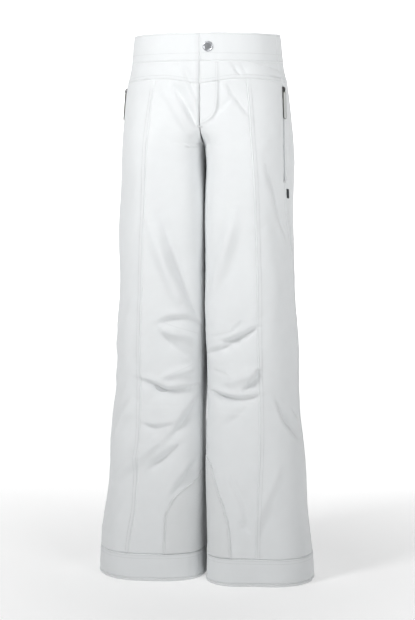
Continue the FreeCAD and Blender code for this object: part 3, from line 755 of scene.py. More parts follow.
SNAP = material("snap_metal", (0.56, 0.575, 0.60), 0.34, metal=1.0)
HOOK = material("hook_metal", (0.50, 0.50, 0.51), 0.32, metal=1.0)

# ---------------------------------------------------------------- shell panels

LOOSE = 1.0  # how much coarser than its finished spacing a mesh is
GRID = 2.8 * LOOSE  # mesh spacing in mm
CLOTH = 0.9  # thickness in mm
SEAM_GAP = 0.08
EDGE_STEPS = [0.0, 0.45, 1.0, 1.8, 3.2, 5.4, 7.4, 8.3, 9.4]


def groove(distance, depth=1.1, reach=1.0):
    """How far a sewn edge is drawn down, by distance from the seam."""
    return -depth * np.exp(-((distance / reach) ** 2))


def pucker(turn, z, distance):
    """Small ripples where the sewing draws the cloth up, a few millimetres from a seam."""
    ripple = np.sin(z * 0.62 + turn * 27) * 0.5 + np.sin(z * 0.37 + turn * 55 + 1.3)
    return 0.16 * ripple * np.exp(-(((distance - 3) / 5.0) ** 2)) * smoothstep(distance / 1.5)


def spaced(width, spacing):
    """Distances from one sewn edge to the other, close together at both edges."""
    edge = [d for d in EDGE_STEPS if d < width / 3]
    inner = max(2, int(round((width - 2 * edge[-1]) / spacing)))
    middle = np.linspace(edge[-1], width - edge[-1], inner + 1)
    return np.concatenate([edge[:-1], middle, width - np.array(edge[:-1])[::-1]])


def seam_heights(side, turn, top, bottom, shares):
    """Heights down a centre seam and inseam at shares of its length."""
    z = np.linspace(top, bottom, 900)
    points = place(side, np.full_like(z, turn), z)
    run = np.concatenate([[0], np.cumsum(np.linalg.norm(np.diff(points, axis=0), axis=1))])
    return np.interp(shares * run[-1], run, z)


def panel(name, side, first, last, top, bottom, cloth=SHELL, seam=None, replaces=None,
          welts=(0, 0, 0, 0), grooves=(1, 1, 1, 1), lift=0.0, extra=None, ride=True, thick=CLOTH):
    """A sewn panel between two turns (as functions of height) and two heights (of turn).

    welts and grooves are for the first, last, top and bottom edge. seam is the turn of an edge whose
    rows are spaced evenly along it, for the centre seam that bends under the crotch into an inseam.
    """
    middle_z = (float(top(0.5)) + float(bottom(0.5))) / 2
    a, b = float(first(middle_z)), float(last(middle_z))
    width = abs(b - a) * float(millimetres_per_turn(side, (a + b) / 2, middle_z))
    length = float(top(0.5)) - float(bottom(0.5))
    if seam is not None:
        length += 90.0
    u = spaced(width, GRID)
    v = spaced(length, GRID)
    share_u, share_v = u / width, v / length
    top_turn = first(-60.0) + (last(-60.0) - first(-60.0)) * share_u
    tops, bottoms = top(top_turn), bottom(top_turn)
    z = tops[None, :] + (bottoms - tops)[None, :] * share_v[:, None]
    if seam is not None:
        edge = seam_heights(side, float(seam), float(top(np.array(float(seam)))), float(bottoms[0]), share_v)
        edge_share = (edge - edge[0]) / (edge[-1] - edge[0])
        weight = smoothstep((share_u if seam == 0 else 1 - share_u) * 1.02)
        share = edge_share[:, None] + (share_v - edge_share)[:, None] * weight[None, :]
        z = tops[None, :] + (bottoms - tops)[None, :] * share
    start, end = first(z), last(z)
    turn = start + (end - start) * share_u[None, :]
    from_first, from_last = u[None, :], (width - u)[None, :]
    from_top, from_bottom = v[:, None], (length - v)[:, None]
    total = np.zeros(z.shape)
    for distance, on, welt in zip((from_first, from_last, from_top, from_bottom), grooves, welts):
        if on:
            total = total + groove(distance, depth=1.1 * on)
            total = total + pucker(turn, z, distance)
        if welt:
            total = total + welt * smoothstep((9.0 - distance) / 1.6) * smoothstep(distance / 1.5)
    total = total + lift
    if extra is not None:
        total = total + extra(turn, z)
    outer, normal = skin(side, turn, z, total)
    return sewn(name, cloth, outer, outer - normal * thick, replaces=replaces, ride=ride)


def turns(side, turn, z, distance):
    """A distance along the cloth as a change of turn."""
    return distance / millimetres_per_turn(side, turn, z)


def centre_lap(side):
    """The left front laps over the right along the fly: one stands out and the other sinks."""
    def lift(turn, z):
        x = np.abs(place(side, turn, z)[..., 0])
        on_fly = smoothstep((z - FLY_BOTTOM_Z + 6) / 8)
        if side == LEFT:
            return 0.9 * on_fly * smoothstep((32 - x) / 8)
        return -1.9 * on_fly * smoothstep((9 - x) / 8)
    return lift


def slot_width(z):
    """Half the opening over a pocket zipper."""
    inside = smoothstep((ZIP_TOP_Z + 5 - z) / 6) * smoothstep((z - ZIP_BOTTOM_Z + 9) / 8)
    return 3.1 * inside


def blend_fly(piece):
    """Read the fly flap's hinge and bake the piece's placement into its mesh; the cloth is not made to fold
    open.
    """
    hinge = next(j for j in frame["joints"] if j["name"] == "fly_flap_open")
    pivot = np.array(hinge["pos_m"], float)
    away = unit(np.cross(unit(np.array(hinge["axis"], float)), [0.0, 1.0, 0.0]))
    away = away if away[0] < 0 else -away
    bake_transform(piece)


def level(value):
    """A function that gives the same turn at every height, or the same height at every turn."""
    return lambda there: np.zeros_like(np.asarray(there, float)) + value


def beyond(height, distance):
    """A panel's edge above or below a level seam; height gives z at a turn."""
    return lambda turn: height(turn) + distance


def seam_edge(side, seam, sign, gap=lambda z: SEAM_GAP):
    """A panel's edge on one side of an upright seam; seam gives the turn at a height."""
    def edge(z):
        z = np.asarray(z, float)
        turn = seam(z)
        return turn + sign * turns(side, turn, z, gap(z))
    return edge


def inner_edge(side, sign, at):
    """A panel's edge at the middle of the front or back, and at the inseam below the crotch."""
    def edge(z):
        z = np.asarray(z, float)
        return at + sign * np.where(z < CROTCH_Z, turns(side, 0.0, z, SEAM_GAP), 0.0)
    return edge


def make_shell():
    yoke_low, on_yoke = beyond(yoke_z, -SEAM_GAP), beyond(yoke_z, SEAM_GAP)
    below_band, cuff = beyond(band_bottom, -SEAM_GAP), level(CUFF_TOP_Z)
    for name, side in SIDES.items():
        def princess_edge(sign, side=side):
            return seam_edge(side, lambda z: princess(side, z), sign)

        def side_edge(sign, side=side):
            return seam_edge(side, SIDE_SEAM_TURN[side], sign, lambda z: SEAM_GAP + slot_width(z))

        def hip_edge(sign, side=side):
            """The side seam above the pocket, straight up through the yoke and waistband."""
            turn = float(SIDE_SEAM_TURN[side](ZIP_TOP_Z))
            return seam_edge(side, lambda z: turn, sign)

        fly = centre_lap(side)
        front_replaces = [f"{name}_front_panel"]
        if side == LEFT:
            front_replaces.append("fly_flap")
        front = panel(f"{name}_front_panel", side, inner_edge(side, 1, 0.0), princess_edge(-1),
                      yoke_low, cuff, seam=0, grooves=(0.5, 0.6, 0.3, 2), replaces=front_replaces,
                      extra=fly, ride=side == RIGHT)
        panel(f"{name}_side_panel", side, princess_edge(1), side_edge(-1), yoke_low, cuff,
              welts=(0.3, 0.3, 0, 0), grooves=(0.6, 1, 0.3, 2))
        panel(f"{name}_back_panel", side, side_edge(1), inner_edge(side, -1, 2.0), yoke_low, cuff, seam=2,
              welts=(0.3, 0.3, 0, 0), grooves=(1, 1, 0.3, 2))
        yoke = panel(f"{name}_front_yoke", side, level(0.0), hip_edge(-1), below_band, on_yoke,
                     welts=(0, 0, 0, 0.25), grooves=(0, 1, 0.3, 0.3), extra=fly, ride=side == RIGHT)
        panel(f"{name}_back_yoke", side, hip_edge(1), level(2.0), below_band, on_yoke,
              welts=(0, 0.4, 0, 0.25), grooves=(1, 1, 0.3, 0.3))
        band = panel(f"{name}_waistband", side, level(0.0), hip_edge(-1), band_top, band_bottom,
                     grooves=(0, 1, 0, 0.5), lift=0.4, extra=fly, ride=side == RIGHT, thick=2.3,
                     replaces=[f"{name}_waistband"] + (["waist_tab"] if side == LEFT else []))
        panel(f"{name}_back_waistband", side, hip_edge(1), level(2.0), band_top, band_bottom,
              grooves=(1, 0, 0, 0.5), lift=0.4, thick=2.3, replaces=["back_waistband"])
        if side == LEFT:
            for piece in (front, yoke, band):
                blend_fly(piece)


# ---------------------------------------------------------------- hems, guards and linings


def evenly(side, z, count, inset=0.0):
    """Turns all the way round a leg, equally far apart along the cloth."""
    turn = np.linspace(0, 2, 401)
    run = np.linalg.norm(np.diff(place(side, turn, np.full(401, z), inset), axis=0), axis=1)
    run = np.concatenate([[0], np.cumsum(run)])
    return np.interp(np.linspace(0, run[-1], count, endpoint=False), run, turn)


def leg_band(name, side, top, bottom, lift, thick, cloth, spacing=3.4, rows=None, slot="shell"):
    """A band round the hem that follows the cloth's folds; lift is a function of turn and z."""
    around = evenly(side, (top + bottom) / 2, int(640 / (spacing * LOOSE)))
    rows = rows or max(4, int((top - bottom) / (spacing * LOOSE)))
    edge = np.array([0.0, 0.4, 1.0, 1.9])
    z = np.concatenate([top - edge, np.linspace(top - 3.2, bottom + 3.2, rows), bottom + edge[::-1]])
    z = z if top - bottom > 12 else np.linspace(top, bottom, rows)
    turn, z = np.meshgrid(around, z)
    outer, normal = skin(side, turn, z, lift(turn, z))
    folded = 2.0 if top - bottom < 12 else 1.0
    sewn(name, cloth, outer, outer - normal * thick, slot=slot, wrap=True, folded=folded)


def leg_tube(name, side, top, bottom, inset, thick, cloth, slot, wave=0.8, gathers=0.0, count=170, rows=40):
    """A tube of cloth inside a leg; inset is a function of z."""
    around = evenly(side, (top + bottom) / 2, int(count / LOOSE), 15.0)
    turn, z = np.meshgrid(around, np.linspace(top, bottom, max(3, int(rows / LOOSE))))
    points = place(side, turn, z, inset(z))
    normal = outward(side, turn, z)
    soft = wave * CRUMPLE(points.reshape(-1, 3) * [1, 1, 0.35]).reshape(z.shape)
    near_end = smoothstep(1 - (z - bottom) / 60.0)
    soft = soft + gathers * near_end * np.sin(turn * math.pi * 30) * (1 + 0.3 * np.sin(turn * 23))
    outer = points - normal * (wave - soft)[..., None]
    sewn(name, cloth, outer, outer - normal * thick, "hung", slot, wrap=True)


GUARD_LOW_Z = -949.0
GUARD_EDGE = {
    RIGHT: [(-796, 0.0), (-806, 0.02), (-825, 0.15), (-851, 0.25), (-885, 0.29), (GUARD_LOW_Z, 0.29)],
    LEFT: [(-768, 0.0), (-778, 0.08), (-805, 0.125), (-830, 0.16), (-856, 0.20), (-895, 0.23),
           (GUARD_LOW_Z, 0.24)],
}


def guard_front(side, z):
    heights, turns_there = zip(*sorted(GUARD_EDGE[side]))
    return Profile(list(zip(heights, turns_there)))(np.asarray(z, float))


def guard_rear(side, z):
    top = GUARD_EDGE[side][0][0]
    share = np.clip((top - np.asarray(z, float)) / (top - GUARD_LOW_Z), 0, 1)
    return -0.03 - 0.57 * np.sqrt(share)


GUARD_LIFT = 1.0
BINDING_DEEP = 4.2
GAITER_TOP_Z, GAITER_LOW_Z = -830.0, -963.0
ELASTIC_TOP_Z, ELASTIC_MIDDLE_Z, ELASTIC_LOW_Z = -964.5, -975.0, -985.0
LINING_TOP_Z, LINING_LOW_Z = -206.0, -935.0


def guard_pucker(side, z):
    """The guard's edge is drawn up into small puckers where it is sewn."""
    return (0.55 if side == LEFT else 0.2) * np.sin(np.asarray(z) * 0.55 + np.sin(z * 0.09) * 2)


def make_lower_legs():
    for name, side in SIDES.items():
        def seam_line(turn, side=side):
            """The upright seam in a cuff, at the inseam."""
            wrapped_turn = np.minimum(np.abs(turn - 0.0), np.abs(2 - turn))
            return groove(wrapped_turn * 150.0, depth=0.9)

        def cuff_lift(turn, z):
            from_top, from_bottom = CUFF_TOP_Z - z, z - (HEM_Z + BINDING_DEEP)
            pucker = 0.22 * np.sin(turn * 61 + z * 0.1) * np.sin(turn * 17 + 1) * np.exp(-from_top / 9)
            return 0.5 + groove(from_top, 1.5) + groove(from_bottom, 0.9) + pucker + seam_line(turn)

        def binding_lift(turn, z):
            share = (z - HEM_Z) / BINDING_DEEP
            return 0.55 + 0.75 * np.sin(math.pi * np.clip(share, 0, 1)) + 0.12 * np.sin(turn * 300)

        leg_band(f"{name}_hem_cuff", side, CUFF_TOP_Z - 0.1, HEM_Z + 4.4, cuff_lift, 1.6, SHELL)
        leg_band(f"{name}_hem_binding", side, HEM_Z + BINDING_DEEP, HEM_Z + 0.1, binding_lift, 2.6, TRIM,
                 rows=7, slot="trim")

        top, low = GUARD_EDGE[side][0][0] - 1.0, CUFF_TOP_Z + 1.2
        rows = np.linspace(0, 1, int(46 / LOOSE)) ** 1.25
        z = top + (low - top) * rows
        first, last = guard_rear(side, z), guard_front(side, z)
        share = np.linspace(0, 1, int(48 / LOOSE))
        turn = first[:, None] + (last - first)[:, None] * share
        z = np.broadcast_to(z[:, None], turn.shape)
        near_edge = np.exp(-((1 - share) / 0.06) ** 2)[None, :]
        outer, normal = skin(side, turn, z, GUARD_LIFT + guard_pucker(side, z) * near_edge)
        sewn(f"{name}_scuff_guard", GUARD, outer, outer - normal * 0.8, slot="guard")

        z = top + (low - top) * np.linspace(0, 1, int(150 / LOOSE)) ** 1.2
        turn = guard_front(side, z)
        path, normal = skin(side, turn, z, GUARD_LIFT + 0.1 + guard_pucker(side, z))
        shape = Shape()
        shape.tube(path, 1.15, sides=8, normals=normal)
        shape.piece(f"{name}_guard_piping", TRIM, slot="trim")

        def gaiter_inset(z):
            return 13.4 + 20.6 * (GAITER_TOP_Z - z) / (GAITER_TOP_Z - GAITER_LOW_Z)

        leg_tube(f"{name}_gaiter", side, GAITER_TOP_Z, GAITER_LOW_Z, gaiter_inset, 0.7, GAITER, "gaiter",
                 gathers=0.9, rows=44)
        around = evenly(side, ELASTIC_MIDDLE_Z, int(420 / LOOSE), 33.0)
        turn, z = np.meshgrid(around, np.linspace(ELASTIC_TOP_Z, ELASTIC_LOW_Z, 22))
        points, normal = place(side, turn, z, 33.2), outward(side, turn, z)
        ribs = 0.35 * np.cos((z - ELASTIC_LOW_Z) * math.pi * 2 / 3.4) + 0.25 * np.sin(turn * math.pi * 60)
        outer = points + normal * ribs[..., None]
        sewn(f"{name}_gaiter_elastic", ELASTIC, outer, outer - normal * 1.8, "gathered", "elastic", wrap=True)
        leg_tube(f"{name}_leg_lining", side, LINING_TOP_Z, LINING_LOW_Z, level(11.6), 0.6, LINING, "lining",
                 wave=1.0, count=130, rows=110)


def make_seat_lining():
    way = np.linspace(0.12, 3.97, int(230 / LOOSE))
    z = np.linspace(-52.0, -170.0, int(36 / LOOSE))
    outer, inner = [], []
    for side, there in ((LEFT, way[way < 2]), (RIGHT, 4.0 - way[way >= 2])):
        turn, height = np.meshgrid(there, z)
        points, normal = place(side, turn, height, 12.0), outward(side, turn, height)
        points = points + normal * (0.5 * CRUMPLE(points.reshape(-1, 3)).reshape(height.shape))[..., None]
        points[..., 0] = side * np.maximum(side * points[..., 0], 0.3)
        outer.append(points)
        inner.append(points - normal * 0.6)
    sewn("seat_lining", LINING, np.concatenate(outer, 1), np.concatenate(inner, 1), "hung", "lining")


def inside_cloth(name, side, first, last, top, bottom, inset, thick, cloth, slot, soft=0.25,
                 held="stretched"):
    """A cloth piece inside the pants between two turns; top and bottom are functions of turn."""
    turn = np.linspace(first, last, int(60 / LOOSE))
    share = np.linspace(0, 1, int(70 / LOOSE))[:, None]
    z = top(turn)[None, :] + (bottom(turn) - top(turn))[None, :] * share
    turn = np.broadcast_to(turn, z.shape)
    points, normal = place(side, turn, z, inset), outward(side, turn, z)
    points = points + normal * (soft * CRUMPLE(points.reshape(-1, 3)).reshape(z.shape))[..., None]
    sewn(name, cloth, points, points - normal * thick, held, slot)


def level_cloth(name, x, z, inset, thick, cloth, slot, behind=False, soft=0.0, held="stretched"):
    """A piece between two distances across and two heights, held inside the cloth."""
    across_it = np.linspace(x[0], x[1], int(max(14, abs(x[1] - x[0]) / 2.2) / LOOSE))
    down = np.linspace(z[0], z[1], int(max(14, abs(z[1] - z[0]) / 2.2) / LOOSE))
    grid_x, grid_z = np.meshgrid(across_it, down)
    points = across(grid_x, grid_z, inset, behind)
    inward = np.array([0.0, -1.0 if behind else 1.0, 0.0])
    points = points + inward * (soft * CRUMPLE(points.reshape(-1, 3)).reshape(grid_x.shape))[..., None]
    sewn(name, cloth, points, points + inward * thick, held, slot)


def make_inside():
    for name, side in SIDES.items():
        inside_cloth(
            f"{name}_waistband_facing", side, 0.24 if side == LEFT else 0.0, 1.99,
            lambda t: band_top(t) - 1.6, lambda t: band_bottom(t) - 5.0, 2.6, 0.7, FACING, "facing", soft=0.1)
        inside_cloth(
            f"{name}_pocket_bag", side, 0.52, 1.06, lambda t: -70.0 + 0 * t,
            lambda t: -285.0 - 18.0 * np.sin(math.pi * (t - 0.52) / 0.54), 9.2, 1.0, LINING, "lining",
            soft=0.5, held="hung")
    level_cloth("waist_underlap", (-24.0, 38.0), (5.5, -43.0), 4.6, 1.3, FACING, "facing")
    level_cloth("fly_shield", (-8.0, 44.0), (-6.0, -165.0), 10.3, 0.8, LINING, "facing", soft=0.1)
    level_cloth("care_label", (-16.0, 16.0), (4.0, -46.0), 4.4, 0.35, LABEL, "label", behind=True, soft=0.12,
                held="hung")


make_lower_legs()
make_seat_lining()
make_inside()

# ---------------------------------------------------------------- fastenings and trim


def rounded_outline(width, length, corner, count=8, narrow=0.0):
    """Points round a rectangle with rounded corners; narrow draws in the end at high x."""
    points = []
    for cx, cy, start in ((1, 1, 0), (-1, 1, 90), (-1, -1, 180), (1, -1, 270)):
        for k in range(count + 1):
            a = math.radians(start + 90 * k / count)
            x = cx * (length / 2 - corner) + corner * math.cos(a)
            y = cy * (width / 2 - corner) + corner * math.sin(a)
            points.append((x, y * (1 - narrow * smoothstep((x / length + 0.5) * 1.2 - 0.2))))
    return np.array(points, float)


def plate(shape, outline, low, high, soft, frame_at):
    """A flat plate of an outline, with rounded rims; frame_at turns x, y, height into space."""
    count = len(outline)
    centre = outline.mean(0)
    away = unit(outline - centre)
    rims = ((low, soft), (low + soft * 0.3, soft * 0.3), (low + soft, 0), (high - soft, 0),
            (high - soft * 0.3, soft * 0.3), (high, soft))
    rings = [(outline - away * inset, height) for height, inset in rims]
    rings.append((centre + (outline - centre) * 0.55, high))
    points = [frame_at(ring[:, 0], ring[:, 1], np.full(count, height)) for ring, height in rings]
    shape.add(np.vstack(points), ringed(len(rings), count))


def teeth(shape, frame_at, start, end, height):
    """Two rows of coil that mesh down the middle."""
    for row in (-1, 1):
        along = np.arange(start + (0.65 if row > 0 else 0), end, 1.3 * LOOSE)
        zero = np.zeros_like(along)
        centre = frame_at(along, zero + row * 0.55, zero + height)
        sideways = frame_at(along, zero + row * 0.55 + 1, zero + height) - centre
        up = frame_at(along, zero + row * 0.55, zero + height + 1) - centre
        shape.beads(centre, sideways, up, 2.3, 0.85, 1.5, ends=0.6)


SLIDER_ALONG, SLIDER_OUT = 4.0, -1.0  # a pocket slider's middle at rest, from the zipper's top
PIVOT_ABOVE_SLIDER = 3.6
TAB_ALONG, TAB_WIDE, TAB_LONG = 33.3, 10.4, 49.4
# Round the rim of a pull tab: how far in from the outline, and how high.
PULL_RIM = [(0.0, 0.0), (0.12, 0.55), (0.3, 0.85), (0.62, 0.9), (0.75, 0.4)]
PULL_RIM += [(inset, -height) for inset, height in PULL_RIM[:0:-1]]


def shifted(frame_at, along, out):
    """The same directions, from a point further along and out."""
    return lambda x, y, height: frame_at(along + np.asarray(x, float), y, out + np.asarray(height, float))


def zip_tapes(name, frame_at, along, wide, lift, inward, **flat_size):
    """The tapes beside a zipper's teeth; lift is a function of the distance along and the row."""
    tape = Shape()
    for row in (-1, 1):
        grid_along, grid_wide = (grid.T for grid in np.meshgrid(along, row * wide))
        grid = frame_at(grid_along, grid_wide, lift(grid_along, row))
        tape.slab(grid, grid + inward)
    tape.piece(name, TAPE, slot="zip_tape")


def slider_shape(at, size, plates, arch, thick, **look):
    """A zipper's slider: a plate above the teeth, one below, and the arch that its pull hangs from."""
    shape = Shape()
    outline = rounded_outline(*size, 2.4, narrow=0.16)
    for low, high, soft in plates:
        plate(shape, outline, low, high, soft, at)
    reach, foot, rise, count = arch
    sweep = np.linspace(0, math.pi, count)
    shape.tube(at(-reach * np.cos(sweep), 0 * sweep, foot + rise * np.sin(sweep) ** 0.6), thick, **look)
    return shape


def make_pockets():
    for name, side in SIDES.items():
        line = POCKET[side]
        zip_tapes(f"{name}_pocket_zipper", line.at, np.linspace(-3.5, line.length + 3.0, int(120 / LOOSE)),
                  np.linspace(1.0, 6.1, 6), lambda along, row: -1.15 + 0.05 * np.sin(along * 0.9 + row),
                  -0.5 * line.out, flat=(0.0125, 0.2), area=0.0021)
        coil = Shape()
        teeth(coil, line.at, -2.0, line.length - 1.0, -0.95)
        coil.piece(f"{name}_pocket_coil", COIL, slot="zip_tape", replaces=())

        body = f"{name}_pocket_slider"
        slider_at = shifted(line.at, SLIDER_ALONG, SLIDER_OUT)
        slider = slider_shape(slider_at, (8.4, 10.2), ((1.35, 2.75, 0.45), (-2.45, -1.35, 0.35)),
                              (3.6, 2.55, 2.3, 15), 0.62, sides=8, flat=1.25)
        slider.box((-4.4, -0.3, -1.5), (2.8, 0.6, 3.0), (line.down, line.wide, line.out),
                   line.at(SLIDER_ALONG, 0, SLIDER_OUT), bevel=0.1)
        for row in (-1, 1):
            rail = np.linspace(-4.0, 4.2, 8)
            slider.tube(slider_at(rail, row * (3.75 - 0.04 * rail), 1.05 + 0 * rail), 0.42, sides=6)
        slider.piece(body, SLIDER, body=body, slot="slider")

        pull = f"{name}_pocket_pull"
        pivot = SLIDER_OUT + PIVOT_ABOVE_SLIDER
        wire = Shape()
        turn = np.linspace(0, 2 * math.pi, 36, endpoint=False)
        square = [np.sign(wave) * np.abs(wave) ** 0.55 for wave in (np.cos(turn), np.sin(turn))]
        wire.tube(line.at(8.0 + 4.0 * square[0], 2.2 * square[1], pivot), 0.6, sides=8, closed=True)
        wire.piece(f"{name}_pocket_link", LINK, body=pull, slot="link")

        rim, core = Shape(), Shape()
        tab_at = shifted(line.at, TAB_ALONG, pivot)
        outline = rounded_outline(TAB_WIDE, TAB_LONG, 3.0)
        away = unit(outline - np.clip(outline, [-20, -1.5], [20, 1.5]))
        rings = []
        for inset, height in PULL_RIM:
            ring = outline - away * inset
            rings.append(tab_at(ring[:, 0], ring[:, 1], np.full(len(ring), height)))
        rim.add(np.vstack(rings), ringed(len(rings), len(outline), closed=True))
        # The rim gets the near-black colour: painted shade along the edge of the tab.
        rim.piece(f"{name}_pull_edge_painted_shade", PULL_EDGE_SHADE, body=pull, slot="pull", replaces=())
        plate(core, outline * [0.974, 0.872], -0.74, 0.74, 0.25, tab_at)
        y = np.linspace(-2.9, 2.9, 9)
        for k in range(7):
            for height in (0.72, -0.72):
                core.tube(tab_at(np.full(9, -6.0 + 4.2 * k), y, np.full(9, height)), 0.42, sides=8)
        core.piece(f"{name}_pocket_tab", PULL, body=pull, slot="pull")

        bar = Shape()
        along = line.length + 5.0 + np.arange(0, 4.2, 0.42)
        zig = np.concatenate([[a, a] for a in along])
        wide = np.tile([-5.0, 5.0, 5.0, -5.0], len(along))[: len(zig)]
        low_z = line.at(line.length + 7, 0, 0)[2]
        base, normal = skin(side, np.full(1, SIDE_SEAM_TURN[side](low_z)), np.full(1, low_z), 0.0)
        height = float(((base - line.top) @ line.out)[0])
        steps = np.linspace(0, len(zig) - 1, len(zig) * 6)
        wide_there = np.interp(steps, np.arange(len(zig)), wide)
        run = line.at(np.interp(steps, np.arange(len(zig)), zig), wide_there, 0 * steps)
        run = run + (height + 0.35 - 0.012 * wide_there**2)[:, None] * line.out
        bar.tube(run, 0.3, sides=6, normals=np.tile(line.out, (len(run), 1)))
        bar.piece(f"{name}_pocket_end_bar", THREAD, slot="ribbon")


SNAP_AT = (15.0, -18.0)
# Radius and height of the snap's cap, from under its middle, round its rim, to its dished face.
SNAP_PROFILE = [(0.01, 0.9), (9.2, 0.9), (9.3, 1.3), (9.2, 2.1), (8.8, 2.6), (8.2, 2.85), (7.4, 2.75),
                (6.9, 2.35), (6.5, 2.15), (5.2, 2.2), (3.0, 2.3), (0.01, 2.35)]


def make_fly():
    chain_x, chain_y, top, bottom = 17.0, -94.9, -50.0, -144.0

    def frame_at(along, wide, out):
        along, wide, out = together(along, wide, out)
        return np.stack([chain_x + wide, chain_y - out, top - along], -1)

    zip_tapes("fly_zipper", frame_at, np.linspace(-1.0, top - bottom + 2.5, int(60 / LOOSE)),
              np.linspace(1.0, 8.9, 7), lambda along, row: -0.1 + 0.05 * np.sin(along),
              np.array([0, 0.5, 0]), flat=(0.018, 0.098), area=0.00155)
    coil = Shape()
    teeth(coil, frame_at, 1.0, top - bottom, 0.0)
    coil.piece("fly_coil", COIL, slot="zip_tape", replaces=())

    slider_at = shifted(frame_at, 7.0, 0.0)
    slider = slider_shape(slider_at, (8.2, 10.0), ((1.35, 2.25, 0.3), (-2.05, -1.35, 0.25)),
                          (3.0, 2.1, 1.1, 13), 0.4, sides=6)
    tab = rounded_outline(5.0, 17.0, 2.0)
    plate(slider, tab + [10.5, 0], 2.45, 3.15, 0.25, slider_at)
    slider.piece("fly_slider", SLIDER, body="fly_slider", slot="slider")

    bar = Shape()
    zig_x = np.tile([-4.0, 5.0, 5.0, -4.0], 5)
    zig_z = FLY_BOTTOM_Z - 1.0 - np.repeat(np.arange(10), 2) * 0.32
    steps = np.linspace(0, len(zig_x) - 1, len(zig_x) * 7)
    x, z = np.interp(steps, np.arange(20), zig_x), np.interp(steps, np.arange(20), zig_z)
    run = np.empty((len(x), 3))
    for side in (LEFT, RIGHT):
        here = (x > 0) == (side == LEFT)
        run[here] = skin(side, turn_at(side, np.maximum(np.abs(x[here]), 0.4), z[here]), z[here], 0.3)[0]
    run[:, 1] = np.minimum(run[:, 1], run[:, 1].mean() + 0.3)
    bar.tube(run, 0.32, sides=6, normals=np.tile([0.0, -1.0, 0.0], (len(run), 1)))
    bar.piece("fly_end_bar", THREAD, slot="ribbon")

    x, z = SNAP_AT
    cap = Shape()
    cap.lathe(SNAP_PROFILE, (x, across(x, z)[1], z), (0, -1, 0), sides=64)
    cap.piece("snap_cap", SNAP, body="fly_flap", slot="snap")


HANGER_X, HANGER_LOW_Z, HANGER_TOP_Z = 46.0, -26.0, 21.5
# The lace hook at the gaiter: its shank, the end of its bend, the plate it is riveted to.
HOOK_SHANK_Z, HOOK_TIP_Z = (-968.5, -985.5), (-984.0, -981.0, -978.5)
HOOK_PLATE_Z, RIVET_Z = (-968.4, -972.0, -977.0, -981.0), -974.0
RIVET_PROFILE = [(0.01, 0.2), (1.0, 0.2), (0.95, 0.75), (0.6, 1.0), (0.01, 1.05)]


def make_trim():
    for name, side in SIDES.items():
        x = side * HANGER_X
        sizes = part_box(f"{name}_hanger_loop")
        low, high = np.array(sizes[0]) / MM, np.array(sizes[1]) / MM
        middle = (low[1] + high[1]) / 2
        lean = (float(across(x, HANGER_LOW_Z, 0, True)[1]) - float(across(x, 14.0, 0, True)[1])) / 40.0
        height = np.linspace(HANGER_LOW_Z, HANGER_TOP_Z, 26)
        height = np.concatenate([height, np.linspace(HANGER_TOP_Z, HANGER_LOW_Z, 26)])
        depth = np.concatenate([np.full(26, 0.8), np.full(26, -0.8)])
        depth[22:26], depth[26:30] = [0.75, 0.62, 0.4, 0.0], [-0.0, -0.4, -0.62, -0.75]
        height[22:26], height[26:30] = [19.5, 21.4, 22.9, 23.6], [23.6, 22.9, 21.4, 19.5]
        keep = np.ones(52, bool)
        keep[26] = False
        path = np.stack([np.full(52, x), middle - (height + 1) * lean * 0.9 + depth * 1.4, height], -1)[keep]
        loop = Shape()
        loop.strip(path, (1.0, 0.0, 0.0), 8.0, 0.7)
        piece = loop.piece(f"{name}_hanger_loop", RIBBON, slot="ribbon")

        box_low, box_high = (np.array(v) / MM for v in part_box(f"{name}_lace_hook"))
        x, y = (box_low[0] + box_high[0]) / 2, box_high[1]
        hook = Shape()
        swing = np.linspace(0, math.pi, 12)
        z = np.concatenate([np.linspace(*HOOK_SHANK_Z, 9), HOOK_SHANK_Z[1] - 3.2 * np.sin(swing)[1:],
                            HOOK_TIP_Z])
        out = np.concatenate([np.full(9, 0.55), 0.55 + 1.75 * (1 - np.cos(swing))[1:], [4.1, 4.25, 4.6]])
        hook.strip(np.stack([np.full(len(z), x), y - out, z], -1), (1.0, 0.0, 0.0), 5.0, 0.8)
        hook.strip(np.array([[x, y - 0.45, height] for height in HOOK_PLATE_Z]), (1.0, 0.0, 0.0), 9.6, 0.6)
        for dx in (-3.6, 3.6):
            hook.lathe(RIVET_PROFILE, (x + dx, y - 0.2, RIVET_Z), (0, -1, 0), sides=16)
        hook.piece(f"{name}_lace_hook", HOOK, slot="hook")

    line = POCKET[LEFT]
    tab = Shape()
    along = np.linspace(line.length + 20.2, line.length + 36.8, 16)
    along, wide = (grid.T for grid in np.meshgrid(along, np.linspace(4.1, 10.9, 9)))
    z = line.at(along, wide, 0 * along)[..., 2]
    seam = SIDE_SEAM_TURN[LEFT](z)
    outer, normal = skin(LEFT, seam + turns(LEFT, seam, z, wide), z, 1.1)
    tab.slab(outer, outer - normal * 0.9)
    tab.piece("side_tab", DARK_TAB, slot="dark_tab")


make_pockets()
make_fly()
make_trim()

make_shell()

# ---------------------------------------------------------------- stitching

PITCH, STITCH, THREAD_WIDE = 3.2, 2.5, 0.62  # mm
FLAP_LOW_Z = -176  # the lowest stitch kept with the fly flap's own stitching is above this
